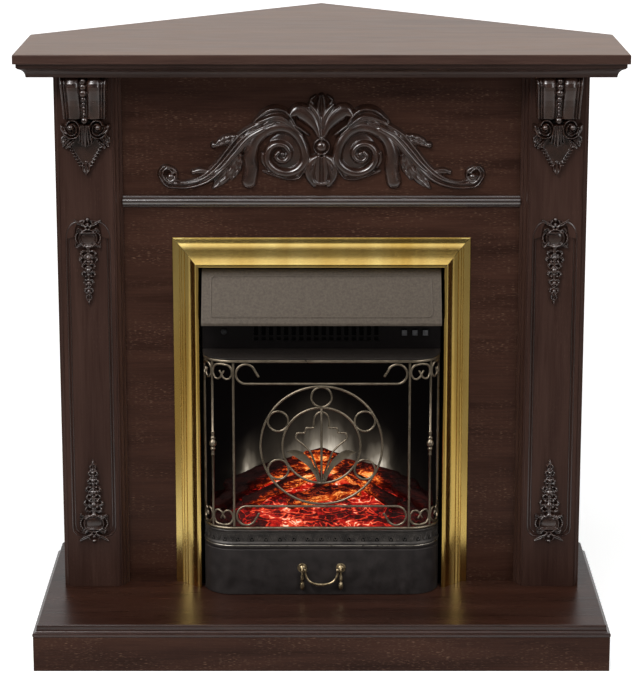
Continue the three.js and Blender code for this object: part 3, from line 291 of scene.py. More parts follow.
class Nodes:
    """A node tree with short ways to add to it."""

    def __init__(self, tree):
        self.tree = tree

    def feed(self, node, inputs):
        """Links or sets inputs of a node."""
        for key, value in inputs.items():
            if isinstance(value, Value):
                self.tree.links.new(value.socket, node.inputs[key])
            else:
                node.inputs[key].default_value = value
        return node

    def value(self, kind, output, inputs=(), **settings):
        """One output of a new node."""
        node = self.tree.nodes.new("ShaderNode" + kind)
        for key, setting in settings.items():
            setattr(node, key, setting)
        return Value(self, self.feed(node, dict(inputs)).outputs[output])

    def split(self, vector):
        """The three parts of a vector."""
        first = self.value("SeparateXYZ", "X", {"Vector": vector})
        return [Value(self, socket) for socket in first.socket.node.outputs]


class Paint(Nodes):
    """A material; its colours are given as they look on a screen, 0 to 255."""

    def __init__(self, name, roughness=0.5, metallic=0.0, specular=0.5):
        self.material = bpy.data.materials.new(name)
        self.material.use_nodes = True
        super().__init__(self.material.node_tree)
        self.shader = self.tree.nodes["Principled BSDF"]
        self.feed(self.shader, {"Roughness": roughness, "Metallic": metallic,
                                "Specular IOR Level": specular})
        self.place = self.value("TexCoord", "Object")

    def noise(self, scale, detail=3.0, roughness=0.5, stretch=(1, 1, 1), distortion=0.0):
        vector = self.value("Mapping", "Vector", {"Vector": self.place, "Scale": stretch})
        return self.value("TexNoise", "Fac", {"Vector": vector, "Scale": scale, "Detail": detail,
                                              "Roughness": roughness, "Distortion": distortion})

    def ramp(self, source, *stops):
        """Stops are (position, colour) or (position, number)."""
        output = self.value("ValToRGB", "Color", {"Fac": source})
        elements = output.socket.node.color_ramp.elements
        for _ in stops[2:]:
            elements.new(0.5)
        for element, (position, value) in zip(elements, stops):
            element.position = position
            element.color = linear(*value) if isinstance(value, tuple) else (value, value, value, 1.0)
        return output

    def mix(self, share, a, b):
        a, b = (linear(*c) if isinstance(c, tuple) else c for c in (a, b))
        return self.value("Mix", 2, {0: share, 6: a, 7: b}, data_type="RGBA")

    def colour(self, value):
        self.feed(self.shader, {"Base Color": linear(*value) if isinstance(value, tuple) else value})

    def rough(self, source, *stops):
        """Roughness by a ramp."""
        self.feed(self.shader, {"Roughness": self.ramp(source, *stops)})

    def glow(self, strength, source, *stops):
        """Emission by a ramp."""
        self.feed(self.shader, {"Emission Color": self.ramp(source, *stops), "Emission Strength": strength})

    def bump(self, height, distance, strength=1.0):
        """A bump of a distance in mm."""
        normal = self.value("Bump", "Normal", {"Strength": strength, "Distance": distance * MM,
                                               "Height": height})
        self.feed(self.shader, {"Normal": normal})


def wood(name, along, dark, light, pore, pores=1.0, roughness=0.34, specular=0.12, ior=1.5):
    """Lacquered dark wood: slow tone bands, fine streaks and short pale pores along one axis."""
    paint = Paint(name, roughness, 0.0, specular)
    paint.feed(paint.shader, {"IOR": ior})

    def grain(lengthwise, crosswise):
        return tuple(lengthwise if k == along else crosswise for k in "xyz")

    tone = paint.noise(1.0, 3.0, 0.55, grain(3.0, 26.0), 0.4)
    streak = paint.noise(1.0, 2.0, 0.6, grain(14.0, 420.0))
    base = paint.ramp(tone * 0.65 + streak * 0.35, (0.32, dark), (0.68, light))
    flecks = paint.ramp(paint.noise(1.0, 1.0, 0.4, grain(120.0, 1300.0)), (0.62, 0.0), (0.72, pores))
    patches = paint.ramp(paint.noise(1.0, 2.0, 0.5, grain(6.0, 22.0)), (0.42, 0.1), (0.62, 1.0))
    share = flecks * patches
    paint.colour(paint.mix(share, base, pore))
    paint.bump(streak * 0.35 - share, 0.05, 0.6)
    paint.rough(streak, (0.3, roughness - 0.04), (0.7, roughness + 0.06))
    return paint.material


WENGE_X = wood("wenge_across", "x", (40, 22, 16), (66, 42, 32), (124, 96, 78), 0.75)
WENGE_HEARTH = wood("wenge_hearth", "x", (34, 18, 13), (56, 33, 25), (112, 86, 72), 0.7, 0.3)
WENGE_Z = wood("wenge_upright", "z", (45, 28, 23), (67, 47, 40), (92, 68, 58), 0.35)
WENGE_Y = wood("wenge_deep", "y", (38, 21, 15), (60, 38, 29), (96, 70, 58), 0.5)
# Lighter copy of the wenge for the mantel's top face: painted sheen of the pale grazing reflection.
WENGE_TOP_SHEEN = wood("wenge_top_painted_sheen", "x", (68, 45, 30), (97, 68, 45), (46, 29, 18), 0.5, 0.42, 0.46)
WENGE_MOULD = wood("wenge_cornice", "x", (38, 24, 20), (58, 40, 34), (78, 60, 52), 0.3, 0.3, 0.4)
WENGE_EDGE = wood("wenge_edge", "x", (50, 33, 28), (74, 52, 44), (96, 74, 64), 0.3, 0.34, 0.3)
WENGE_GLOSS = wood("wenge_moulding", "x", (32, 18, 14), (50, 31, 25), (80, 58, 48), 0.3, 0.18, 1.0, 2.0)
WENGE_STILE = wood("wenge_stile", "z", (34, 19, 15), (54, 33, 27), (80, 58, 48), 0.3, 0.2, 0.75)
WENGE_NOSING, WENGE_NOSING_SIDE = (
    wood(name, along, (36, 21, 17), (56, 36, 30), (80, 58, 48), 0.3, 0.2, 0.6)
    for name, along in (("wenge_nosing", "x"), ("wenge_nosing_side", "y"))
)


def carved_wood():
    paint = Paint("carved_wenge", 0.22, 0.0, 0.85)
    paint.colour(paint.ramp(paint.noise(60.0, 3.0), (0.3, (34, 20, 15)), (0.7, (58, 38, 30))))
    paint.bump(paint.noise(260.0, 2.0), 0.03, 0.4)
    paint.rough(paint.noise(90.0, 2.0), (0.3, 0.18), (0.75, 0.28))
    return paint.material


def polished_brass():
    paint = Paint("polished_brass", 0.16, 1.0)
    tone = paint.noise(3.0, 2.0, 0.5, (6, 1, 1))
    paint.colour(paint.ramp(tone, (0.35, (205, 168, 88)), (0.7, (236, 208, 130))))
    streak = paint.noise(1.0, 2.0, 0.5, (600, 60, 600))
    paint.rough(streak, (0.3, 0.13), (0.7, 0.24))
    paint.bump(streak, 0.01, 0.4)
    return paint.material


def aged_metal(name, dark, light, roughness, metallic, scale=120.0, depth=0.05, specular=0.4):
    """Metal with a mottled patina and a faint cast texture."""
    paint = Paint(name, roughness, metallic, specular)
    patches = paint.noise(scale, 4.0, 0.6)
    paint.colour(paint.ramp(patches, (0.35, dark), (0.7, light)))
    paint.rough(patches, (0.3, roughness - 0.08), (0.7, roughness + 0.1))
    paint.bump(paint.noise(scale * 9, 3.0), depth, 0.6)
    return paint.material


CARVED = carved_wood()
BRASS = polished_brass()
PEWTER = aged_metal("antique_pewter", (100, 90, 76), (126, 115, 99), 0.34, 0.9, 60.0)
# Pale metal for the casing's top lip: a painted highlight line.
PAINTED_HIGHLIGHT_METAL = aged_metal("painted_highlight_edge", (150, 143, 132), (180, 172, 160), 0.3, 0.9, 60.0)
CAST = aged_metal("cast_iron", (36, 32, 31), (50, 45, 44), 0.5, 0.35, 60.0, 0.08)
GALLERY = aged_metal("cast_gallery", (40, 37, 35), (64, 59, 55), 0.46, 0.45, 90.0, 0.1)
HOOD = aged_metal("hood_enamel", (71, 63, 55), (84, 76, 67), 0.42, 0.15, 260.0, 0.03, 0.2)
BLACK = aged_metal("black_enamel", (12, 9, 9), (18, 14, 14), 0.42, 0.0, 200.0, 0.03, 0.12)
LINTEL = aged_metal("lintel_enamel", (29, 25, 23), (39, 35, 32), 0.45, 0.1, 200.0, 0.03, 0.15)
AGED_BRASS = aged_metal("antique_brass", (120, 104, 78), (188, 170, 136), 0.3, 0.95)
ZINC = aged_metal("galvanised_sheet", (140, 143, 144), (176, 179, 180), 0.4, 0.85, 35.0, 0.02)
# Near-black: the closing flanges' own black, and painted shade behind the fascia's slots and in the gallery's
# windows.
DARK_SHEET = aged_metal("black_sheet_and_painted_shade", (5, 4, 4), (9, 8, 7), 0.85, 0.0, 60.0, 0.03, 0.05)
PLASTIC = aged_metal("black_plastic", (24, 24, 25), (34, 34, 35), 0.45, 0.0, 300.0, 0.02)
GREY_PLASTIC = aged_metal("switch_grey", (66, 66, 68), (84, 84, 86), 0.4, 0.0, 300.0, 0.02)


def carry(material, *nodes):
    """A CAD node whose shape is right keeps it and takes this material."""
    for node in nodes:
        mesh = frame["nodes"][node].data
        mesh.materials.clear()
        mesh.materials.append(material)


carry(WENGE_X, "plinth_front", "front_panel", "frieze_panel")
carry(WENGE_Y, "plinth_left", "plinth_right", "back_rail_left", "back_rail_right",
      "side_panel_left", "side_panel_right", "mantel_batten_left", "mantel_batten_right")
carry(WENGE_Z, "pilaster_left", "pilaster_right")
carry(ZINC, "fan_heater", "lamp_bar", "flame_rotor")
carry(PLASTIC, "rotor_motor", "fan_wheel", "power_inlet")


# ---- Hearth and mantel ----

def pentagon(half_width, front, inset):
    """Five-sided plan of the corner: the inset leaves the two walls alone."""
    half = half_width - inset
    return [(-half, front + inset), (half, front + inset), (half, CORNER_Y - half), (0, CORNER_Y),
            (-half, CORNER_Y - half)]


def moulded_board(half_width, front, edge):
    """Board whose front and side edges follow (inset, z) steps."""
    return loft([[(x, y, z) for x, y in pentagon(half_width, front, inset)] for inset, z in edge])


def hearth_edge():
    """Bevel, cove and bead of the hearth's nosing, from the top down."""
    thickness = HEARTH_HIGH - HEARTH_LOW
    cove = smooth([(7.2, 2.2), (6.8, 6), (6.6, 9), (5.6, 11.6), (3.6, 13), (1.4, 13.6)], 10)
    steps = [(9, 0), (8.2, 0.3), (7.5, 1.1)] + [tuple(p) for p in cove]
    steps += [(0.5, 14.1), (0.1, 15), (0, 16.6), (0.4, 18.6), (1.4, 20), (9, 20)]
    return [(inset, HEARTH_HIGH - down * thickness / 20) for inset, down in steps]


piece("hearth_board", moulded_board(HEARTH_HALF, HEARTH_FRONT, [(9, HEARTH_LOW), (9, HEARTH_HIGH)]),
      WENGE_HEARTH, "wenge_board", ["hearth_top"], sharp=25)
piece("mantel_board", moulded_board(MANTEL_HALF, MANTEL_FRONT, [
    (0.8, SLAB_LOW), (0, SLAB_LOW + 0.8), (0, SLAB_HIGH - 1.5), (0.45, SLAB_HIGH - 0.6),
    (1.3, SLAB_HIGH - 0.3),
]), WENGE_EDGE, "wenge_board", ["mantel_slab"], sharp=25)
# Thin skin over the slab's top in that lighter wenge: painted sheen on the top face.
piece("mantel_top_sheen_skin", moulded_board(MANTEL_HALF, MANTEL_FRONT, [
    (1.1, SLAB_HIGH - 0.5), (1.1, SLAB_HIGH - 0.2), (1.5, SLAB_HIGH),
]), WENGE_TOP_SHEEN, "wenge_board", sharp=25)


def mantel_profile():
    """(setback from the slab edge, height) of the mantel moulding: cove, fillet and step."""
    cove = smooth([(19.5, 0), (19.2, 3), (17.5, 8), (13.5, 12.5), (8.5, 15)], 10)
    steps = [tuple(p) for p in cove] + [(7, 15.4), (7, 16.5), (5, 17.2), (5, 23.7), (105, 23.7), (105, 0)]
    rise = (MOULDING_HIGH - MOULDING_LOW) / 23.7
    return [(inset, MOULDING_LOW + up * rise) for inset, up in steps]


def moulding_run(profile, start, end, start_cut, end_cut):
    """A run along x about its own centre, mitred by the shares given."""
    return loft([
        [(along + cut * inset, inset, z) for inset, z in profile]
        for along, cut in ((start, start_cut), (end, end_cut))
    ])


def side_moulding(profile, half_width, front):
    """The same moulding down the right side, back to the wall."""
    points, faces = moulding_run(profile, SEAT / 2, CORNER_Y - half_width - front, 1, 1)
    return [(half_width - y, front + x, z) for x, y, z in points], faces


front_run = moulding_run(mantel_profile(), -MANTEL_HALF + SEAT / 2, MANTEL_HALF - SEAT / 2, 1, -1)
piece("mantel_mould_front", pushed_back(front_run, MANTEL_FRONT), WENGE_MOULD, "wenge_board",
      ["mantel_moulding_front"], sharp=20)
pair("mantel_mould", side_moulding(mantel_profile(), MANTEL_HALF, MANTEL_FRONT), WENGE_Y, "wenge_board",
     "mantel_moulding", sharp=20)

nosing = moulding_run(hearth_edge(), -HEARTH_HALF, HEARTH_HALF, 1, -1)
piece("hearth_nosing_front", pushed_back(nosing, HEARTH_FRONT), WENGE_NOSING, "wenge_board", sharp=25)
pair("hearth_nosing", side_moulding(hearth_edge(), HEARTH_HALF, HEARTH_FRONT), WENGE_NOSING_SIDE,
     "wenge_board", sharp=25)


# ---- Front of the surround ----

def frieze_strip():
    low, high = corners("frieze_strip")
    seam = (low[2] + high[2]) / 2
    face = high[1]
    section = [(0, -9.6), (-2.2, -9.6), (-3.4, -8.2), (-3.4, -6.9)]
    section += [(-3.4 - 6.2 * math.cos(a), 6.6 * math.sin(a)) for a in np.linspace(-1.45, 1.45, 17)]
    section += [(-3.4, 6.9), (-3.4, 8.2), (-2.2, 9.6), (0, 9.6)]
    outline = [(face + y, seam + z) for y, z in section]
    return prism(outline, low[0], high[0], "x")


piece("frieze_moulding", frieze_strip(), WENGE_GLOSS, "wenge_board", ["frieze_strip"], sharp=40)


# The routed field on a pilaster and the round shoulders at its top.
FIELD_HALF, FIELD_LOW, FIELD_HIGH = 38.0, 171.0, 735.0
SHOULDER, SHOULDER_RISE, SHOULDER_DOWN = 19.0, 30, 34


def field_outline(inset):
    """Outline of the routed field on the right pilaster, with a dip at the foot."""
    half, low, high = FIELD_HALF - inset, FIELD_LOW + inset, FIELD_HIGH - inset
    shoulder_low = high - SHOULDER_DOWN
    right = [(half, low + 16), (half, shoulder_low)]
    shoulder = [(half - SHOULDER + SHOULDER * math.cos(a), shoulder_low + SHOULDER_RISE * math.sin(a))
                for a in np.linspace(0.15, math.pi / 2, 9)]
    foot = [(0, low), (half * 0.55, low), (half * 0.8, low + 2.5), (half * 0.95, low + 8)]
    side = foot + right + shoulder + [(0, high)]
    left = [(-x, z) for x, z in reversed(side[1:-1])]
    return [(PILASTER_X + x, z) for x, z in side + left]


def field_bead(inset, radius, sunk):
    """Thin moulding that lines the routed field."""
    outline = field_outline(inset)
    dense = []
    for i, (x, z) in enumerate(outline):
        nx, nz = outline[(i + 1) % len(outline)]
        parts = 12 if math.hypot(nx - x, nz - z) > 100 else 1
        dense += [(x + (nx - x) * k / parts, PILASTER_FACE + sunk, z + (nz - z) * k / parts)
                  for k in range(parts)]
    return tube(dense, radius, 8, endless=True)


pair("field_bead", merge(field_bead(0.8, 1.5, 0.6), field_bead(5.6, 1.1, 2.6)), WENGE_STILE, "wenge_board")


# ---- Carving in relief ----

def edge(u):
    return np.sqrt(np.clip(1 - u ** 4, 0, 1))


def dome(u, t):
    return np.sqrt(np.clip(1 - u ** 2, 0, 1))


def ribbed(u, t):
    """Two ribs with a hollow between them."""
    return edge(u) * (0.74 - 0.26 * np.cos(2 * math.pi * u))


def fluted(count, depth=0.22):
    return lambda u, t: edge(u) * (1 - depth + depth * np.cos(count * math.pi * u))


def leaf(u, t):
    """A leaf: sunk middle vein, fine side veins and a soft edge."""
    veins = 0.09 * np.sin(26 * t + 5 * np.abs(u))
    return edge(u) * (0.95 - 0.4 * np.exp(-(u / 0.16) ** 2) + veins - 0.18 * np.abs(u))


def along(size):
    """A size as a function of the way along, 0 to 1.

    One number holds, two run from start to end, and three swell from least to most at a share.
    """
    def at(t):
        if np.ndim(size) == 0:
            return size + 0.0 * t
        if len(size) == 2:
            return size[0] + (size[1] - size[0]) * t
        least, most, peak = size
        share = np.where(t < peak, t / peak, (1 - t) / (1 - peak))
        return least + (most - least) * np.sin(np.clip(share, 0, 1) * math.pi / 2)
    return at


class Relief:
    """Heights over a fine grid on one half of a symmetrical carving, u outwards and z up."""

    SKIN, BURIED = 0.12, 0.5

    def __init__(self, half_width, low, high, pitch):
        self.pitch = pitch
        self.us = np.arange(0, half_width + pitch, pitch)
        self.zs = np.arange(low, high + pitch, pitch)
        self.u, self.z = np.meshgrid(self.us, self.zs)
        self.height = np.zeros_like(self.u)

    def raise_to(self, inside, height):
        """Lifts the carving to a height where that is more."""
        self.height = np.where(inside, np.maximum(self.height, height), self.height)

    def stroke(self, path, width, relief, section=dome):
        """A band along a path, whose section is given across it."""
        path = np.asarray(path, float)
        length = np.linalg.norm(np.diff(path, axis=0), axis=1).sum()
        steps = max(int(length * 1.25 / self.pitch), 8)
        line = smooth(path, steps)
        tangent = np.gradient(line, axis=0)
        shares = np.linspace(0, 1, steps + 1)
        width, relief = along(width), along(relief)
        reach = float(np.max(width(shares))) / 2 + self.pitch
        nearest = np.full(self.u.shape, np.inf)
        share = np.zeros_like(self.u)
        side = np.zeros_like(self.u)
        for t, (cu, cz), (tu, tz) in zip(shares, line, tangent):
            a0, a1 = np.searchsorted(self.us, (cu - reach, cu + reach))
            b0, b1 = np.searchsorted(self.zs, (cz - reach, cz + reach))
            if a0 >= a1 or b0 >= b1:
                continue
            box = (slice(b0, b1), slice(a0, a1))
            du, dz = self.u[box] - cu, self.z[box] - cz
            gap = du * du + dz * dz
            closer = gap < nearest[box]
            for kept, new in ((nearest, gap), (share, t), (side, np.sign(tu * dz - tz * du))):
                kept[box] = np.where(closer, new, kept[box])
        across = np.sqrt(nearest) / (width(share) / 2)
        signed = np.where(across < 1, across * side, 1.0)
        self.raise_to(across < 1, relief(share) * section(signed, share))

    def bead(self, u, z, radius, relief, lift=0.0):
        gap = ((self.u - u) ** 2 + (self.z - z) ** 2) / radius ** 2
        self.raise_to(gap < 1, lift + relief * np.sqrt(np.clip(1 - gap, 0, 1)))

    def ring(self, u, z, radius, width, relief, lift=0.0):
        across = (np.hypot(self.u - u, self.z - z) - radius) / (width / 2)
        self.raise_to(np.abs(across) < 1, lift + relief * dome(across, 0))

    def carve(self, strokes, beads, rings):
        """Cuts tables of strokes, beads and rings."""
        for method, rows in ((self.stroke, strokes), (self.bead, beads), (self.ring, rings)):
            for row in rows:
                method(*row)

    def shape(self, centre_x, face_y, base_z, passes=1):
        """The mirrored relief as (points, faces) on a face at y."""
        half = self.height.copy()
        for _ in range(passes):
            padded = np.pad(half, 1, mode="edge")
            around = padded[:-2, 1:-1] + padded[2:, 1:-1] + padded[1:-1, :-2] + padded[1:-1, 2:]
            half = (4 * half + around) / 8
        height = np.hstack([half[:, :0:-1], half])
        xs = np.concatenate([-self.us[:0:-1], self.us]) + centre_x
        solid = height > self.SKIN
        cells = solid[:-1, :-1] | solid[1:, :-1] | solid[:-1, 1:] | solid[1:, 1:]
        rows, columns = height.shape
        number = np.arange(rows * columns).reshape(rows, columns)
        r, c = np.nonzero(cells)
        quads = np.stack([number[r, c], number[r, c + 1], number[r + 1, c + 1], number[r + 1, c]], 1)
        used, quads = np.unique(quads, return_inverse=True)
        rr, cc = np.divmod(used, columns)
        depth = np.where(solid[rr, cc], face_y - height[rr, cc], face_y + self.BURIED)
        points = np.stack([xs[cc], depth, self.zs[rr] + base_z], 1)
        return points.tolist(), quads.reshape(-1, 4).tolist()


def frieze_relief():
    """Acanthus arms, volutes, palmette and pendant; z from the lowest tip, u from the middle."""
    carving = Relief(283, -4, 164, 0.7)
    carving.carve([
        # leaves that droop under the arm
        ([(144, 62), (154, 39), (166, 18), (184, -1)], (6, 22, 0.6), (8, 5), leaf),
        ([(139, 62), (141, 38), (146, 26), (152, 14)], (5, 16, 0.5), (8, 4), leaf),
        ([(101, 60), (98, 46), (94, 34)], (4, 12, 0.5), (7, 5)),
        ([(99, 28), (77, 22), (56, 17), (40, 18), (31, 27)], (5, 13, 0.6), (6, 8), ribbed),
        # arm: lower and upper ribs, and the curl at its end
        ([(96, 108), (118, 92), (146, 62), (169, 36), (195, 14), (224, 4), (246, 3), (261, 5), (269, 14),
         (273, 24), (267, 33), (258, 33), (251, 27)], (27, 9), (10, 9), ribbed),
        ([(84, 114), (108, 104), (135, 88), (158, 62), (177, 38), (196, 21), (215, 11), (234, 8),
         (249, 11)], (19, 8), (13, 8), ribbed),
        ([(98, 100), (124, 84), (148, 57), (170, 33), (186, 22)], (14, 6), (13, 8)),
        # buds and small leaves on the arm
        ([(136, 88), (152, 84), (168, 78), (178, 72)], (8, 18, 0.6), (10, 8), leaf),
        ([(190, 28), (204, 28), (217, 27)], (5, 12, 0.6), (8, 7)),
        # stem and rings of the volute
        ([(123, 10), (119, 33), (120, 56), (112, 80), (93, 97), (67, 103), (45, 94), (30, 70), (28, 46),
         (39, 31), (59, 24), (80, 31), (91, 46), (89, 65), (76, 74), (61, 71), (54, 60), (59, 48), (70, 46),
         (77, 54), (72, 61)], (26, 11), (11, 14)),
        ([(118, 66), (110, 84), (92, 90)], (3, 6, 0.45), 11),
        # shoulder lobes over the volute
        ([(112, 112), (99, 120), (84, 127), (67, 127), (55, 118), (46, 108)], (9, 27, 0.45), (12, 16),
         ribbed),
        ([(98, 108), (80, 117), (62, 113), (46, 102), (32, 90)], (4, 12, 0.45), (12, 12)),
        ([(52, 124), (42, 130), (30, 127), (18, 117), (9, 104), (4, 90)], (12, 31, 0.3), (13, 15),
         fluted(1, 0.1)),
        ([(51, 115), (45, 108), (34, 100), (21, 90)], (3, 6, 0.45), 15),
        # palmette
        ([(9, 105), (17, 120), (32, 138)], (6, 16, 0.5), (15, 12), ribbed),
        ([(1, 104), (6, 123), (20, 143)], (6, 14, 0.55), (16, 13)),
        ([(0, 88), (0, 120), (0, 155)], (12, 22, 0.7), (15, 11), ribbed),
        ([(12, 140), (18, 149), (10, 157)], (3, 6, 0.45), 8),
        ([(0, 86), (0, 96), (0, 108)], (14, 26, 0.3), (13, 10), fluted(3, 0.12)),
        # the two thin stems beside the cabochon
        ([(25, 78), (23, 63), (29, 47), (33, 30)], (2, 4, 0.45), 9),
        # bell pendant
        ([(8, 52), (15, 45), (20, 32), (19, 18), (12, 5)], (12, 20, 0.4), (13, 9)),
        ([(5, 54), (7, 30), (5, 6)], (9, 15, 0.4), (15, 10)),
        ([(0, 52), (0, 30), (0, 8)], 3, (15, 12)),
        ([(15, 40), (18, 32), (20, 24)], (1.5, 3, 0.45), 14.6),
        ([(0, 6), (7, 7), (12, 9)], (5, 9, 0.1), 12),
    ], [
        (256, 18, 7.5, 10), (182, 72, 6.5, 9), (217, 26, 5, 7), (60, 60, 34, 4.5), (66, 56, 7, 10),
        (123, 10, 8, 9), (0, 70.5, 15, 8), (0, 70.5, 9.4, 8, 7),
    ], [
        (258, 22, 12, 5, 8), (0, 70.5, 13, 3.4, 4, 8),
    ])
    return carving


ORNAMENT_BASE = corners("frieze_ornament")[0][2]
piece("frieze_carving", frieze_relief().shape(0, PANEL_FACE, ORNAMENT_BASE, 2), CARVED, "carved_wood",
      ["frieze_ornament"], sharp=180)


def corbel_relief():
    """Console with two broad reeds, a bead string, two volutes and a shield inside a rope edge."""
    carving = Relief(43, 0, 170, 0.5)
    u, z = carving.u, carving.z

    def reed(share, middle, half, power=2.0):
        return np.sqrt(np.clip(1 - np.abs((share - middle) / half) ** power, 0, 1))

    # console block: a roll that falls back to a waist, reeded from top to bottom
    levels = [84, 96, 108, 120, 130, 139, 147, 153, 159, 165, 170]
    out = np.interp(z, levels, [24, 25, 27, 29.5, 32.5, 36, 39, 40.5, 39.4, 36, 31])
    share = u / np.interp(z, [84, 150, 170], [35, 38.5, 40])
    narrow = np.maximum(0.8 * reed(share, 0.81, 0.045), 0.9 * reed(share, 0.93, 0.07))
    crests = np.maximum(reed(share, 0.46, 0.31, 2.4), narrow)
    block = out - 8 + 8 * crests
    carving.height = np.where((z > 97) & (share < 1), block, 0.0)
    # shield: a plain face inside a rope edge
    inside = (z > 10) & (z < 92) & (u < np.interp(z, [10, 18, 46, 92], [2, 8, 24, 31]))
    carving.height = np.where(inside, np.maximum(carving.height, 2.4), carving.height)
    for i in range(7):
        t = i / 6
        carving.stroke([(6.4 + 17 * t, 16 + 31 * t), (11.8 + 17 * t, 17 + 31 * t)], (2.8, 4.2, 0.45), 8.5)
    # palmette at the tip
    carving.stroke([(0, 0), (0, 10), (0, 21)], (4, 6.4, 0.4), 9)
    carving.stroke([(1.4, 3), (5, 9), (5.6, 18)], (3, 5, 0.5), 8)
    # fan of ribs between the volutes
    for lean, foot in ((0.0, 50), (5.0, 52), (10.0, 56)):
        rib = [(lean + 0.6, foot), (lean * 0.8 + 1, foot + 12), (lean * 0.5 + 1.4, 86)]
        carving.stroke(rib, (4, 6, 0.35), (12, 24))
    # folded leaves below the volutes
    for start, middle, end, size in (((20, 60), (27, 52), (33, 46), 9), ((24, 64), (33, 58), (38, 49), 9),
                                     ((29, 68), (37, 64), (40, 56), 8)):
        carving.stroke([start, middle, end], (4, size, 0.55), (13, 8), leaf)
    # volutes: lips that sweep under an eye and wind up into it
    carving.bead(20, 79, 14.5, 12, 5)
    for path, width, relief in (
        ([(38, 84), (35, 72), (26, 65), (15, 66), (9, 75), (10, 87), (17, 94.5), (26, 93.5), (30, 87)],
         (5.6, 4), (18, 27)),
        ([(34, 83), (29.5, 74), (21.5, 70), (14.4, 74), (14, 83), (19, 89), (25, 88.4)],
         (4.4, 3.2), (22, 28)),
        ([(30.6, 83.4), (25.8, 77.4), (20.4, 76.4), (18.4, 81)], (3.6, 2.8), (24, 28)),
    ):
        carving.stroke(path, width, relief)
    carving.bead(23, 84, 5.2, 7, 26)
    carving.stroke([(30, 72), (36, 76), (40, 85)], (5, 9, 0.6), (21, 17))
    # bead string down the middle
    for height, radius, out_at in ((163, 4.8, 36), (154, 5.4, 39), (143, 6.2, 36), (132, 4.8, 30),
                                   (123.6, 3.6, 27), (117, 3.2, 25), (111, 2.8, 23.6), (105.4, 2.8, 22.6),
                                   (95, 5.6, 22)):
        carving.bead(0, height, radius, radius * 0.9, out_at)
    return carving


corbel_shape = corbel_relief()
CORBEL_BASE = corners("corbel_right")[0][2]
for side, sign in (("right", 1), ("left", -1)):
    shape = corbel_shape.shape(sign * PILASTER_X, PILASTER_FACE, CORBEL_BASE)
    piece(f"corbel_carving_{side}", shape, CARVED, "carved_wood", [f"corbel_{side}"], sharp=180)


def applique_relief():
    """Crowned cartouche over a cascade of flowers; z from the lowest tip, u from the middle."""
    carving = Relief(30, -2, 153, 0.4)
    # spreading arms and crown
    carving.stroke([(3, 134), (9, 137), (16, 141), (22, 145)], (3, 6, 0.5), (6, 5), ribbed)
    carving.stroke([(2, 131), (8, 138), (5, 145)], (2, 4.5, 0.45), 6)
    carving.bead(0, 146, 4, 6)
    carving.bead(0, 138, 3.4, 6)
    carving.stroke([(0, 128), (4, 132), (0, 136)], (2, 4, 0.45), 6)
    # cartouche: beaded frame round a plain shield
    carving.stroke([(0, 123.5), (7, 124), (13, 123)], 3.4, 7.5)
    for angle in np.linspace(-75, 62, 11):
        a = math.radians(angle)
        carving.bead(3 + 18 * math.cos(a), 114 + 15 * math.sin(a), 2.1, 4.6)
    carving.ring(0, 114, 15, 3, 6.5)
    carving.bead(0, 114, 13.6, 4.5)
    carving.stroke([(9, 127), (15, 130), (19, 126)], (2.5, 5, 0.45), 6.5, ribbed)
    carving.stroke([(10, 106), (15, 102), (20, 99), (21, 104)], (2.5, 5, 0.45), 6.5, ribbed)
    carving.bead(0, 99, 5, 7)
    carving.bead(5.5, 101, 3, 6.4)
    # cascade: flowers, buds and curls, narrowing to the tip
    for height, spread, size in ((88, 13, 4.2), (77, 15, 4.6), (66, 11, 3.8), (52, 11.5, 4.2),
                                 (38, 8.5, 3.4), (23, 7.5, 3.1), (11, 4.8, 2.8)):
        curl = [(3, height + 3), (spread * 0.6, height + 4), (spread, height), (spread - 3, height - 4)]
        carving.stroke(curl, (2, size, 0.45), 5.6, ribbed)
        carving.bead(spread - 1, height - 1, size * 0.5, 6.2)
        carving.bead(spread * 0.42, height - 4, size * 0.62, 6)
    for height, radius in ((80, 5.4), (58, 5.6), (36, 4.6), (22, 4.2)):
        carving.bead(0, height, radius, 7)
        carving.ring(0, height, radius + 1.6, 1.8, 4.4)
    carving.stroke([(0, 95), (0, 50), (0, 0)], (7, 3), (4.2, 3))
    carving.bead(0, 3, 2.6, 5)
    return carving


applique_shape = applique_relief()


def applique(name, sign, upside_down):
    points, faces = applique_shape.shape(0, PILASTER_FACE + 0.2, 0)
    low, high = corners(name)
    if upside_down:
        points = [(x * 1.12, y, high[2] - z) for x, y, z in points]
    else:
        points = [(x, y, low[2] + z) for x, y, z in points]
    points = [(x + sign * PILASTER_X, y, z) for x, y, z in points]
    piece(name + "_carving", (points, faces), CARVED, "carved_wood", [name], sharp=180)


for side, sign in (("right", 1), ("left", -1)):
    applique(f"applique_upper_{side}", sign, False)
    applique(f"applique_lower_{side}", sign, True)


# ---- Brass trim ----

# Section of the trim as (in from the outer edge, forward of the panel), TRIM_WIDTH across.
TRIM_WIDTH = 46
TRIM_SECTION = (
    [(0, 0.3), (0, 1.6), (0.5, 2), (10.6, 2), (11.4, 2.6), (12, 5.6), (12.7, 6.9), (14.4, 7.4), (15.2, 8.2),
     (15.8, 11), (16.6, 12.6), (18.6, 13.2), (20, 13.8), (20.8, 16), (22, 18)]
    + [(22 + 18 * s, 18 + 17 * (s - 0.16 * math.sin(math.pi * s))) for s in np.linspace(0.1, 0.94, 9)]
    + [(41.4, 35), (43.6, 35), (44.9, 34.6), (45.7, 33.6), (TRIM_WIDTH, 32), (TRIM_WIDTH, -14), (44, -14),
       (44, 31.5), (40, 32), (22, 14), (10, 0.3)]
)


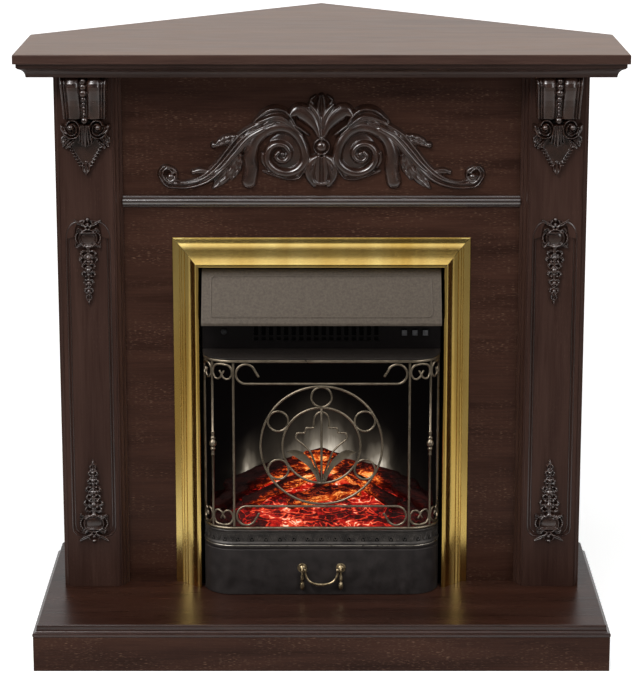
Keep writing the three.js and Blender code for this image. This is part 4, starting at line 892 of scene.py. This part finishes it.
# The head is a smooth splay between the same two edges.
HEAD_SECTION = (
    [(0, 0.3), (0, 1.6), (0.5, 2), (1.4, 1.6), (2.2, 2)]
    + [tuple(p) for p in smooth([(2.4, 2.1), (9, 4.4), (15, 9.4), (22, 16.6), (31, 26), (39, 33.8)], 16)]
    + TRIM_SECTION[-11:]
)


def trim_ring(x_of, z_of, section=TRIM_SECTION):
    return [(x_of(inset), PANEL_FACE - SEAT - out, z_of(inset)) for inset, out in section]


trim_leg = loft([
    trim_ring(lambda inset: TRIM_HALF - inset, lambda inset: TRIM_LOW),
    trim_ring(lambda inset: TRIM_HALF - inset, lambda inset: TRIM_TOP - inset - SEAT),
])
pair("trim_leg", trim_leg, BRASS, "brass", "trim", sharp=30)
piece("trim_head", loft([
    trim_ring(lambda inset: -TRIM_HALF + inset + SEAT, lambda inset: TRIM_TOP - inset, HEAD_SECTION),
    trim_ring(lambda inset: TRIM_HALF - inset - SEAT, lambda inset: TRIM_TOP - inset, HEAD_SECTION),
]), BRASS, "brass", ["trim_top"], sharp=30)


def closing_strips():
    """Dark flanges that close the gap between the trim and the fire."""
    low, high = corners("housing")
    inner, outer = high[0] + SEAT, TRIM_HALF - TRIM_WIDTH - SEAT
    back, front = PANEL_FACE + 14, PANEL_FACE - 12
    under, over = high[2] + SEAT, high[2] + 4.6
    leg = prism([(inner, front), (outer, front), (outer, back), (inner, back)], TRIM_LOW, over, "z")
    end = inner - SEAT
    head = prism([(front, under), (back, under), (back, over), (front, over)], -end, end, "x")
    return merge(leg, mirrored(leg), head)


piece("closing_strips", closing_strips(), DARK_SHEET, "black_sheet")


# ---- Bow-fronted fire ----

def bow(around, inset):
    """Plan point of the bow, by the distance round its outer face from the middle."""
    side = -1 if around < 0 else 1
    distance = abs(around)
    angle = min(max((distance - BOW_FLAT) / BOW_RADIUS, 0), math.pi / 2)
    straight = max(distance - BOW_FLAT - QUARTER, 0)
    radius = BOW_RADIUS - inset
    x = min(distance, BOW_FLAT) + radius * math.sin(angle)
    return side * x, BOW_FRONT + BOW_RADIUS - radius * math.cos(angle) + straight


def bow_stations(steps=14):
    right = [BOW_FLAT * i / 6 for i in range(6)]
    right += [BOW_FLAT + QUARTER * i / steps for i in range(steps + 1)]
    end = BOW_FLAT + QUARTER + BOW_END - BOW_FRONT - BOW_RADIUS
    if end > right[-1] + 0.5:
        right.append(end)
    return [-s for s in reversed(right[1:])] + right


def round_bow(section):
    """A section of (inset, z) swept round the bow."""
    return loft([[(*bow(s, inset), z) for inset, z in section] for s in bow_stations()])


def casing_section():
    low, top = CASING_LOW, CASING_TOP
    return [(0.6, low), (0, low + 0.8), (0, top - 9), (0.9, top - 8.2), (0.9, top - 6.5), (0.2, top - 5.5),
            (0, top - 3), (0.5, top - 0.8), (1.8, top), (12, top), (12, top - 2.5), (3, top - 2.5), (3, low)]


piece("casing_shell", round_bow(casing_section()), CAST, "cast_dark", ["fender_casing"], sharp=35)


# Thin pale tube along the casing's top lip: painted highlight.
casing_edge = tube([(*bow(s, 0.9), CASING_TOP - 1.1) for s in bow_stations()], 1.0, 8, normal=(0, 0, 1))
piece("casing_edge", casing_edge, PAINTED_HIGHLIGHT_METAL, "cast_dark", sharp=60)


def gallery_shapes():
    """Pressed band with a bead, small windows filled in with painted shade, and upright leaves."""
    base, top = GALLERY_LOW, GALLERY_TOP
    band = round_bow([(0.4, base), (-0.8, base + 0.8), (-1, base + 2), (-0.4, base + 3.4), (0.8, base + 4.4),
                      (1.4, base + 5.4), (1.4, top - 4), (0.7, top - 3.2), (0.4, top - 1.6), (0.9, top - 0.4),
                      (1.4, top), (3.2, top), (3.2, base)])
    leaves, windows = [], []
    pitch = 12.0
    reach = BOW_FLAT + QUARTER - 4
    for i in range(-int(reach / pitch), int(reach / pitch) + 1):
        s = i * pitch
        if i % 2 == 0:
            half, sill, lintel = 3.2, base + 6.6, base + 12.6
            opening = [(s - half, sill), (s + half, sill), (s + half, lintel), (s - half, lintel)]
            windows.append(loft([[(*bow(a, inset), z) for a, z in opening] for inset in (1.1, 1.6)]))
        for side in (-1, 1):
            path = [(s + side * 0.6, base + 8), (s + side * 3.2, base + 13), (s + side * 4.6, base + 18.4)]
            stations = [(*bow(a, 1.2), z) for a, z in smooth(path, 6)]
            leaves.append(tube(stations, lambda t: 1.0 - 0.6 * t, 6))
    return band, merge(*windows), merge(*leaves)


gallery, gallery_window_shade, gallery_leaves = gallery_shapes()
piece("gallery_shell", merge(gallery, gallery_leaves), GALLERY, "cast_dark", ["gallery_band"], sharp=35)
# Near-black patches on the band: painted shade in its windows.
piece("gallery_window_shade", gallery_window_shade, DARK_SHEET, "cast_dark")


def rail_shape(z):
    return tube([(*bow(s, RAIL_RADIUS), z) for s in bow_stations()], RAIL_RADIUS, 14, normal=(0, 0, 1))


for end, z in (("bottom", RAIL_LOW_Z), ("top", RAIL_TOP_Z)):
    piece(f"rail_{end}_bar", rail_shape(z), PEWTER, "pewter_iron", [f"grille_rail_{end}"], sharp=60)

POST_LOW = RAIL_LOW_Z + RAIL_RADIUS + SEAT
POST_HIGH = RAIL_TOP_Z - RAIL_RADIUS - SEAT
POST_MIDDLE = (POST_LOW + POST_HIGH) / 2
# Distances round the bow from its middle.
INNER_POST, KNUCKLE_POST, END_POST = 150.5, 192.8, 233.0


def knuckle_post(around):
    x, y = bow(around, RAIL_RADIUS)
    up = POST_HIGH - POST_MIDDLE
    half = [(ROD, 22), (3.0, 21.2), (3.4, 19.6), (3.0, 18), (2.5, 16), (2.6, 12.4), (3.8, 11.2), (4.4, 9.6),
            (3.8, 8), (2.8, 7), (3.8, 5.4), (5.2, 3.4), (5.9, 1.2)]
    profile = [(ROD, up)] + half + [(r, -h) for r, h in reversed(half)] + [(ROD, -up)]
    return turned(profile, (x, y, POST_MIDDLE), "z", 18)


def plain_post(around):
    x, y = bow(around, RAIL_RADIUS)
    return turned([(ROD, POST_LOW), (ROD, POST_HIGH)], (x, y, 0), "z", 14)


def heart_scroll(centre, half_width, crown, lift):
    """Two scrolls under an arch that curl in and cross."""
    drawn = [(0, 0), (0.5, -1.2), (0.86, -6), (1, -13), (0.9, -21), (0.55, -27), (0.18, -24), (-0.02, -18),
             (-0.22, -12)]
    for side in (1, -1):
        path = []
        for share, down in smooth(drawn, 26):
            x, y = bow(centre + side * share * (half_width - ROD), RAIL_RADIUS)
            path.append((x, y, crown + lift * down))
        yield tube(path, lambda t: ROD * (1.0 - 0.25 * t), 10)


def grille_corner():
    shapes = [plain_post(INNER_POST), knuckle_post(KNUCKLE_POST), plain_post(END_POST)]
    for start, end in ((INNER_POST, KNUCKLE_POST), (KNUCKLE_POST, END_POST)):
        centre, half_width = (start + end) / 2, (end - start) / 2
        shapes += heart_scroll(centre, half_width, POST_HIGH - ROD, 1)
        shapes += heart_scroll(centre, half_width, POST_LOW + ROD, -1)
    return merge(*shapes)


pair("corner_ironwork", grille_corner(), PEWTER, "pewter_iron", "grille_corner", sharp=50)

GRILLE_Y = BOW_FRONT + RAIL_RADIUS
ROSETTE_Z = POST_MIDDLE
OUTER_RING, INNER_RING = 104.5, 67.0


def hoop(cx, cz, radius, thickness, steps=72):
    line = arc(cx, cz, radius, 0, 360, steps)[:-1]
    return tube([(x, GRILLE_Y, z) for x, z in line], thickness, 10, endless=True)


def rosette_shape():
    between = (OUTER_RING + INNER_RING) / 2
    small = (OUTER_RING - INNER_RING) / 2
    shapes = [hoop(0, ROSETTE_Z, OUTER_RING, ROD), hoop(0, ROSETTE_Z, INNER_RING, ROD)]
    for degrees in (90, 30, 150, 210, 330):
        a = math.radians(degrees)
        place = between * math.cos(a), ROSETTE_Z + between * math.sin(a)
        shapes.append(hoop(*place, small - 1.2, ROD * 0.9, 36))
    shapes.append(tube([(0, GRILLE_Y, ROSETTE_Z + z) for z in (INNER_RING, 20, -20, -INNER_RING)], ROD, 10))
    tulip = [(0, 60), (7, 57), (12.4, 49), (13.4, 40), (13, 32), (19, 31), (25.5, 31.5), (27.6, 27),
             (29.5, 22.4), (36, 22.4), (41.6, 21.6), (44, 17), (43.4, 12), (38, 7), (32, 2), (25, -5),
             (18.5, -13), (12, -30), (6, -48), (2.4, -64)]
    blade = [(60, -12), (52, -8.6), (43, -8), (34, -11.5), (25, -18.5), (17, -28), (11, -40), (6, -52),
             (2.5, -66), (7, -66), (11, -55), (17, -45), (24, -36), (33, -29), (42, -22.5), (51, -17)]
    spine = smooth([(60, -12), (43, -14), (30, -24), (19, -38), (10, -53), (4.6, -66)], 15)
    for side in (-1, 1):
        shapes.append(tube([(side * x, GRILLE_Y, ROSETTE_Z + z) for x, z in smooth(tulip, 60)], 1.75, 8))
        for half in (-1, 1):
            rim, vein = ([(side * x, GRILLE_Y + half * out, ROSETTE_Z + z) for x, z in line]
                         for line, out in ((blade, 0.4), (spine, 1.5)))
            shapes.append(leaf_side(rim, vein))
    return merge(*shapes)


def leaf_side(ring, spine):
    """One bulged side of a pressed leaf: its outline joined to its raised vein."""
    half = len(ring) // 2
    verts = list(ring) + list(spine)
    faces = []
    last = len(spine) - 1
    for run in (ring[:half + 1], [ring[0]] + ring[:half - 1:-1]):
        index = [ring.index(p) for p in run]
        for i in range(len(index) - 1):
            a = round(i * last / (len(index) - 1))
            b = round((i + 1) * last / (len(index) - 1))
            near = [len(ring) + k for k in range(a, b + 1)]
            faces.append(tuple([index[i], index[i + 1]] + near[::-1]))
    return verts, faces


piece("rosette_ironwork", rosette_shape(), PEWTER, "pewter_iron", ["rosette"], sharp=50)


def scroll_bar(lift):
    z = ROSETTE_Z + lift * (OUTER_RING + ROD * 2 + SEAT)
    room = INNER_POST - ROD * 2 - SEAT
    rail_edge = POST_HIGH if lift > 0 else POST_LOW
    curl = (abs(rail_edge - z) - ROD) / 2
    centre = room - curl
    half = [(centre - curl, 0), (centre - curl / 2, 0)]
    for i in range(19):
        angle = -90 + i / 18 * 250
        radius = curl * (1 - 0.1 * max(0, i / 18 - 0.6))
        half.append(arc(centre, curl, radius, angle, angle, 0)[0])
    half.append((half[-1][0] - 6, half[-1][1] - 10))
    path = smooth(half, 60)
    whole = [(-x, up) for x, up in reversed(path)] + [tuple(p) for p in path]
    return tube([(x, GRILLE_Y, z + lift * up) for x, up in whole], ROD, 10)


for end, lift in (("upper", 1), ("lower", -1)):
    piece(f"scroll_{end}_bar", scroll_bar(lift), PEWTER, "pewter_iron", [f"scroll_bar_{end}"], sharp=50)


# ---- Hood, fascia and switches ----

(_, HOOD_LIP, HOOD_LOW), (HOOD_HALF, HOOD_BACK, HOOD_TOP) = corners("hood")


def hood_shape():
    top = HOOD_BACK - 1
    lip = HOOD_LIP + 0.6
    outline = [(HOOD_BACK, HOOD_LOW), (lip + 0.6, HOOD_LOW), (lip, HOOD_LOW + 0.6), (lip, HOOD_LOW + 4.4),
               (lip + 0.5, HOOD_LOW + 5.4), (top - 0.7, HOOD_TOP - 0.9), (top, HOOD_TOP),
               (HOOD_BACK, HOOD_TOP)]
    slope = math.atan2(top - lip, HOOD_TOP - HOOD_LOW - 5)
    length = math.hypot(top - lip, HOOD_TOP - HOOD_LOW - 5)
    rings = []
    for inset, out in ((0, 0.3), (0.7, -0.9), (1.9, -1.2), (3.1, -0.9), (3.8, 0.3), (1.9, 0.8)):
        half_x, low, high = HOOD_HALF - 14 - inset, 9 + inset, length - 11 - inset
        corner_radius = 9 - inset
        right, left = half_x - corner_radius, -half_x + corner_radius
        upper, lower = high - corner_radius, low + corner_radius
        loop = []
        for cx, cz, start in ((right, upper, 0), (left, upper, 90), (left, lower, 180), (right, lower, 270)):
            loop += arc(cx, cz, corner_radius, start, start + 90, 6)
        rings.append([
            (x, lip + out * math.cos(slope) + up * math.sin(slope),
             HOOD_LOW + 5 - out * math.sin(slope) + up * math.cos(slope))
            for x, up in loop
        ])
    return merge(prism(outline, -HOOD_HALF, HOOD_HALF, "x"), loft(rings, endless=True))


piece("hood_shell", hood_shape(), HOOD, "hood_grey", ["hood"], sharp=35)
carry(BLACK, "control_fascia")


def canopy_shape():
    """Plate over the grille: bowed front edge, straight back edge under the fascia."""
    low, high = corners("canopy_plate")
    rings = []
    for s in bow_stations():
        x, y = bow(s, 0)
        front = min(y, high[1] - 2)
        rings.append([(x, front + 0.4, low[2]), (x, front, low[2] + 0.5), (x, front, low[2] + 1.5),
                      (x, front + 0.4, low[2] + 2), (x, high[1], high[2]), (x, high[1], high[2] - 2)])
    return loft(rings)


def slot_shade_sheet():
    """Near-black sheet close behind the slots: painted shade seen through them."""
    low, high = corners("control_fascia")
    return prism([(-128, high[2] - 37), (114, high[2] - 37), (114, high[2] - 6), (-128, high[2] - 6)],
                 low[1] + 2.6, low[1] + 3.4, "y")


# Painted shade behind the fascia's slots.
piece("slot_shade_sheet", slot_shade_sheet(), DARK_SHEET, "black_sheet")
piece("canopy_shell", canopy_shape(), LINTEL, "black_sheet", ["canopy_plate"], sharp=35)


def rocker_shape(node):
    low, high = corners(node)
    x, y, z = middle(low, high)
    half = (high[0] - low[0]) / 2 - 0.3
    tilt = math.radians(7)
    outline = [(-2.4, -5.0), (-1.7, -2.4), (-1.3, 0), (-1.7, 2.4), (-2.4, 5.0), (2.0, 3.4), (2.0, -3.4)]
    tilted = [(y + a * math.cos(tilt) - b * math.sin(tilt), z + a * math.sin(tilt) + b * math.cos(tilt))
              for a, b in outline]
    return prism(tilted, x - half, x + half, "x")


for index in (1, 2, 3):
    node = f"rocker_switch_{index}"
    body = next(name for name, members in frame["record"]["behaviour"]["bodies"].items() if node in members)
    bevel(piece(node + "_cap", rocker_shape(node), GREY_PLASTIC, "black_plastic", [node], body), 0.4)

low, high = corners("receiver_window")
x, _, z = middle(low, high)
lens = turned([(5, 0), (5, -1.2), (4.4, -2.2), (3, -3), (1.2, -3.3)], (x, high[1], z), "y", 28)
piece("receiver_lens", lens, PLASTIC, "black_plastic", ["receiver_window"], sharp=50)


# ---- Handle ----

def handle_plate():
    low, high = corners("handle_plate_right")
    x = middle(low, high)[0]
    face = high[1]
    z = high[2] - 6.5
    rose = turned([(8.4, 0), (8.4, -0.9), (7.8, -1.7), (6.6, -1.9), (5.8, -1.6), (5.0, -1.9), (4.6, -3.0),
                   (3.6, -3.4), (3.1, -4.2), (2.9, -5.4), (2.0, -6.4), (0.8, -6.8)], (x, face, z), "y", 32)
    lug = tube([(x, face - 3, z - 1), (x, face - 12, z - 1)], 1.8, 12)
    drop = turned([(0.6, -39), (2.6, -37.5), (3.8, -34), (4.3, -30), (3.4, -26), (2, -23.4), (2.1, -22.4),
                   (3.2, -20.6), (3.4, -18.4), (2.6, -14), (1.8, -10.4), (1.8, -4)],
                  (x, face - 4.8, z), "z", 18)
    return merge(rose, lug, drop)


pair("handle_rose", handle_plate(), AGED_BRASS, "antique_brass", "handle_plate", sharp=40)


def bail_shape():
    low, high = corners("handle_bail")
    pivot_z = high[2] - 3.9
    pivot_y = BOW_FRONT - 12
    ends = high[0] - 3.0
    drop = pivot_z - low[2] - 3
    half = [(ends, pivot_y, pivot_z), (ends - 0.8, pivot_y, pivot_z - 8),
            (ends - 8, pivot_y - 1, pivot_z - drop * 0.78)]
    left = [(-x, y, z) for x, y, z in half]
    path = smooth(left + [(0, pivot_y - 1.5, pivot_z - drop)] + half[::-1], 48)
    bar = tube(path, lambda t: 1.9 + 1.1 * max(0.0, 1 - abs(t - 0.5) * 4.4), 12)
    knuckles = [
        turned([(2.2, -2.6), (3.3, -2), (3.6, 0), (3.3, 2), (2.2, 2.6)], (x, pivot_y, pivot_z), "x", 18)
        for x in (-ends, ends)
    ]
    return merge(bar, *knuckles)


piece("bail_bar", bail_shape(), AGED_BRASS, "antique_brass", ["handle_bail"], "bail", sharp=50)


# ---- Fire ----

def flame_glow():
    """Backlit screen: pale flames in three lobes that stand just above the heap and fade into black."""
    paint = Paint("flame_screen", 0.8, 0.0, 0.03)
    x, _, z = paint.split(paint.place)
    x = x + (paint.noise(1.0, 3.0, 0.5, (14, 1, 9), 0.8) - 0.5) * 0.05
    height = z - (0.305 - x * x * 2.2)
    total = 0.0
    for centre, spread, reach, power in ((0.004, 0.04, 0.12, 1.0), (-0.124, 0.014, 0.07, 0.9),
                                         (0.108, 0.018, 0.07, 0.9), (-0.06, 0.03, 0.08, 0.3),
                                         (0.06, 0.03, 0.08, 0.25)):
        off = (x - centre) / spread
        rise = (1.0 - height.at_least(0.0) / reach).clamped()
        total = rise ** 1.7 / (1.0 + (off * off) ** 1.5) * power + total
    streak = paint.ramp(paint.noise(1.0, 3.0, 0.5, (40, 1, 8), 0.4), (0.3, 0.55), (0.65, 1.0))
    paint.glow(1.0, (total * streak).clamped(), (0.0, (4, 3, 3)), (0.3, (46, 41, 35)),
               (0.65, (112, 104, 92)), (1.0, (208, 198, 182)))
    paint.colour((4, 3, 3))
    return paint.material


def middle_share(paint, reach):
    """1 in the middle of the bed, falling to 0 at a distance to the sides in metres."""
    return ((reach - abs(paint.split(paint.place)[0])) * 12.0).clamped()


def ember_glow():
    """Red-hot bed with thin white-hot veins, brightest in the middle and dark at the sides."""
    paint = Paint("ember_glow", 0.8, 0.0, 0.15)
    fine = paint.noise(170.0, 4.0, 0.65, (1, 1, 1), 0.6)
    lumps = paint.noise(30.0, 3.0, 0.6, (0.7, 1.3, 1.4), 0.5)
    vein = abs(paint.noise(36.0, 2.0, 0.5, (0.6, 1, 1.8), 1.3) - 0.5)
    vein = paint.ramp(vein, (0.0, 1.0), (0.018, 0.5), (0.05, 0.0))
    heat = (lumps * 0.75 + fine * 0.35 + vein * 0.22) * (0.56 + middle_share(paint, 0.175) * 0.44)
    paint.glow(1.15, heat, (0.37, (3, 0, 0)), (0.5, (60, 4, 5)), (0.62, (190, 24, 17)),
               (0.73, (246, 100, 56)), (0.84, (255, 226, 194)))
    paint.colour(paint.ramp(fine, (0.3, (12, 4, 3)), (0.7, (40, 11, 8))))
    paint.bump(fine + vein * 0.4, 2.0, 0.8)
    return paint.material


def log_glow():
    """Charred bark with long cracks; the lower and inner faces glow orange."""
    paint = Paint("log_glow", 0.75, 0.0, 0.08)
    bark = paint.noise(1.0, 4.0, 0.65, (38, 110, 130), 0.7)
    patches = paint.noise(20.0, 2.0, 0.5, (1, 1, 1), 0.3)
    crack = paint.ramp(abs(bark - 0.5), (0.0, 1.0), (0.03, 0.3), (0.07, 0.0))
    upwards = paint.split(paint.value("NewGeometry", "Normal"))[2]
    under = paint.ramp(upwards, (0.0, 1.0), (0.5, 0.55), (0.75, 0.0))
    heat = (patches * 0.8 + under * 0.22 + crack * 0.2) * (0.6 + middle_share(paint, 0.15) * 0.4)
    paint.glow(1.2, heat, (0.34, (0, 0, 0)), (0.48, (30, 3, 2)), (0.59, (96, 14, 5)), (0.69, (220, 84, 22)),
               (0.8, (255, 184, 92)), (0.92, (255, 236, 190)))
    paint.colour(paint.ramp(bark, (0.3, (6, 2, 2)), (0.7, (34, 11, 8))))
    paint.bump(bark, 3.0, 0.9)
    return paint.material


EMBERS = ember_glow()
LOGS = log_glow()
carry(flame_glow(), "flame_screen")


def housing_sheet():
    """Black sheet: matt black inside the chamber, a little paler where it faces outwards."""
    paint = Paint("housing_sheet", 0.6, 0.0, 0.08)
    centre = [c * MM for c in middle(*corners("housing"))]
    away = paint.value("VectorMath", "Vector", {0: paint.place, 1: centre}, operation="SUBTRACT")
    normal = paint.value("NewGeometry", "True Normal")
    outside = paint.value("VectorMath", "Value", {0: away, 1: normal}, operation="DOT_PRODUCT").above(0.0)
    mottle = paint.noise(60.0, 4.0, 0.6)
    inner = paint.ramp(mottle, (0.35, (5, 4, 4)), (0.7, (9, 8, 7)))
    outer = paint.ramp(mottle, (0.35, (44, 42, 41)), (0.7, (58, 55, 53)))
    paint.colour(paint.mix(outside, inner, outer))
    paint.bump(paint.noise(540.0, 3.0), 0.03, 0.6)
    return paint.material


carry(housing_sheet(), "housing")


def wobble(points, size, scale, seed):
    """Even, repeatable roughness from a few crossed waves."""
    points = np.asarray(points, float)
    rng = np.random.default_rng(seed)
    total = np.zeros(len(points))
    for octave in range(4):
        for _ in range(3):
            wave = rng.normal(size=3) * scale * 2 ** octave
            total += np.sin(points @ wave + rng.uniform(0, 6.28)) / 3 * 0.55 ** octave
    return total * size


(_, BED_FRONT, BED_LOW), (_, BED_BACK, _) = corners("ember_bed")


def ember_height(across, back):
    crown = 1 - 0.55 * across * across
    rough = 5 * np.sin(across * 13 + back * 4) * np.cos(back * 9 - across * 5)
    return BED_LOW + 14 + (88 * back + 22 * np.sin(back * 3)) * crown + rough


def ember_shape():
    columns, rows = 150, 56
    verts = []
    for j in range(rows + 1):
        back = j / rows
        y = BED_FRONT + (BED_BACK - BED_FRONT) * back
        into = max(BOW_FRONT + BOW_RADIUS - y, 0)
        half = BOW_FLAT + math.sqrt(max(BOW_RADIUS ** 2 - into ** 2, 0)) - 8
        for i in range(columns + 1):
            across = 2 * i / columns - 1
            verts.append((across * half, y, float(ember_height(across, back))))
    points = np.array(verts)
    lumps = np.abs(wobble(points, 9, 0.045, 5)) + wobble(points, 3.0, 0.16, 6)
    points[:, 2] += lumps - 6
    faces = []
    for j in range(rows):
        for i in range(columns):
            a = j * (columns + 1) + i
            faces.append((a, a + 1, a + columns + 2, a + columns + 1))
    # skirt down to the tray
    base = len(points)
    skirt = [(x, y, BED_LOW) for x, y, _ in points[:columns + 1]]
    faces += [(i, base + i, base + i + 1, i + 1) for i in range(columns)]
    return points.tolist() + skirt, faces


piece("ember_heap", ember_shape(), EMBERS, "embers", ["ember_bed"], sharp=180)


def log_shape(spine, radius, seed, sides=28, steps=40):
    """A split, charred log: a bent tube with deep bark and broken ends."""
    path = smooth(spine, steps)
    verts, faces = tube(path, lambda t: radius * (1 - 0.16 * t + 0.05 * math.sin(9 * t + seed)), sides)
    points = np.array(verts)
    centre = np.repeat(np.vstack([path[:1], path, path[-1:]]), sides, axis=0)
    outward = points - centre
    outward /= np.maximum(np.linalg.norm(outward, axis=1)[:, None], 1e-6)
    ring = np.tile(np.arange(sides) / sides * 2 * math.pi, len(path) + 2)
    bark = 0.09 * radius * np.sin(ring * 5 + wobble(points, 2.5, 0.02, seed + 1))
    points += outward * (bark + wobble(points, 0.13 * radius, 0.09, seed))[:, None]
    return points.tolist(), faces


def bed_point(x, back, lift):
    y = BED_FRONT + (BED_BACK - BED_FRONT) * back
    return (x, y, float(ember_height(x / BOW_HALF, back)) + lift)


def fuel_log(name, start, end, radius, seed, replaces=(), rise=6.0):
    a, b = np.array(bed_point(*start)), np.array(bed_point(*end))
    middle = (a + b) / 2 + np.array((0, -4, rise))
    piece(name, log_shape([a, middle, b], radius, seed), LOGS, "logs", replaces, sharp=180)


for log in (
    ("burning_log_left", (-162, 0.64, 6), (-20, 0.84, 15), 17, 11, ["log_left"]),
    ("burning_log_right", (162, 0.66, 6), (18, 0.84, 15), 17.6, 12, ["log_right"]),
    ("burning_log_front", (-54, 0.28, 8), (64, 0.42, 8), 12.8, 13, ["log_front"]),
    ("split_left", (-132, 0.38, 5), (-8, 0.6, 12), 11, 14, (), 4),
    ("split_right", (126, 0.36, 4), (34, 0.68, 14), 11.5, 15, (), 4),
    ("crown_log", (-26, 0.84, 26), (30, 0.86, 24), 11, 16, (), 7),
    ("outer_left", (-182, 0.46, 2), (-134, 0.58, 8), 12, 17, (), 3),
    ("outer_right", (184, 0.44, 2), (130, 0.6, 8), 13, 18, (), 3),
    ("back_chunk", (-20, 0.93, 2), (24, 0.93, 4), 17, 20, (), 3),
    ("short_middle", (-12, 0.44, 6), (44, 0.64, 14), 8, 19, (), 3),
):
    fuel_log(*log)


# ---- Stage ----

FLOOR_REACH, FLOOR_Z = 14.0, -0.0005


def plain_floor():
    mesh = bpy.data.meshes.new("floor")
    plan = ((-1, -1), (1, -1), (1, 1), (-1, 1))
    mesh.from_pydata([(x * FLOOR_REACH, y * FLOOR_REACH, FLOOR_Z) for x, y in plan], [], [(0, 1, 2, 3)])
    obj = bpy.data.objects.new("floor", mesh)
    bpy.context.scene.collection.objects.link(obj)
    paint = Paint("floor_white", 0.9, 0.0, 0.0)
    x, y, _ = paint.split(paint.place)
    # In reflections the floor is white round the object and darker farther out in front.
    near = ((y + 1.25) * 2.2).clamped()
    far = paint.value("LightPath", "Is Glossy Ray") * (1.0 - near)
    paint.colour(paint.mix(far, (244, 244, 243), (150, 147, 141)))
    # The camera sees the floor lifted to the white of the backdrop; nothing else does.
    lift = (((x * x + y * y).root() - 1.2) * 0.3).clamped()
    seen = paint.value("LightPath", "Is Camera Ray") * (0.62 + lift * 0.38)
    paint.feed(paint.shader, {"Emission Color": (1, 1, 1, 1), "Emission Strength": seen})
    mesh.materials.append(paint.material)


plain_floor()

# Soft lights that only reflections show: direction, cosines of the outer and inner rim, strength.
MIRRORED_LIGHTS = (
    ((-0.62, -0.42, 0.66), 0.87, 0.97, 7.0),
    ((0.62, -0.42, 0.66), 0.9, 0.975, 3.5),
    ((0.0, -0.34, 0.94), 0.84, 0.985, 1.0),
)
LIGHT_FROM_WORLD = 0.3


def studio_world():
    """White to the camera. In reflections it is white behind and dark in front, with three soft lights."""
    world = bpy.data.worlds.new("studio")
    bpy.context.scene.world = world
    world.use_nodes = True
    sky = Nodes(world.node_tree)

    def eased(source, low, high, to_low, to_high):
        return sky.value("MapRange", "Result", {"Value": source, "From Min": low, "From Max": high,
                                                "To Min": to_low, "To Max": to_high},
                         interpolation_type="SMOOTHSTEP")

    direction = sky.value("TexCoord", "Generated")
    mirror = eased(sky.split(direction)[1], -0.3, 0.4, 0.07, 1.0)
    for aim, wide, close, strength in MIRRORED_LIGHTS:
        facing = sky.value("VectorMath", "Value", {0: direction, 1: Vector(aim).normalized()},
                           operation="DOT_PRODUCT")
        mirror = mirror + eased(facing, wide, close, 0.0, strength)
    level = LIGHT_FROM_WORLD
    for ray, seen in (("Is Glossy Ray", mirror), ("Is Transmission Ray", 1.0), ("Is Camera Ray", 1.0)):
        level = sky.value("Mix", 0, {0: sky.value("LightPath", ray), 2: level, 3: seen})
    sky.feed(sky.tree.nodes["Background"], {"Color": (1, 1, 1, 1), "Strength": level})


studio_world()


def softbox(name, place, aim, width, height, power, mirrored_too=True):
    light = bpy.data.lights.new(name, "AREA")
    light.shape = "RECTANGLE"
    light.size, light.size_y = width, height
    light.energy = power
    obj = bpy.data.objects.new(name, light)
    obj.location = place
    obj.rotation_euler = (Vector(aim) - Vector(place)).to_track_quat("-Z", "Y").to_euler()
    obj.visible_glossy = mirrored_too
    bpy.context.scene.collection.objects.link(obj)


softbox("key", (-1.5, -2.6, 3.0), (0, -0.2, 0.5), 1.1, 1.1, 60)
softbox("fill", (2.3, -2.7, 1.7), (0, -0.2, 0.5), 0.9, 1.6, 20)
softbox("top", (0.2, -1.1, 3.2), (0, -0.2, 0.6), 1.6, 1.0, 34, mirrored_too=False)

# Fitted to the lines of the photograph, which is 700 pixels high with a focal length of 2600.
CAMERA_PLACE = (0, -4.5915, 1.571)
CAMERA_TILT = 76.2
SENSOR = 36
LENS = SENSOR * 2600 / 700


def photo_camera():
    """Straight on, a little above the mantel and tipped down."""
    camera = bpy.data.cameras.new("camera")
    camera.sensor_width = SENSOR
    camera.lens = LENS
    obj = bpy.data.objects.new("camera", camera)
    obj.location = CAMERA_PLACE
    obj.rotation_euler = (math.radians(CAMERA_TILT), 0, 0)
    bpy.context.scene.collection.objects.link(obj)
    bpy.context.scene.camera = obj


photo_camera()
bpy.context.scene.view_settings.view_transform = "Standard"
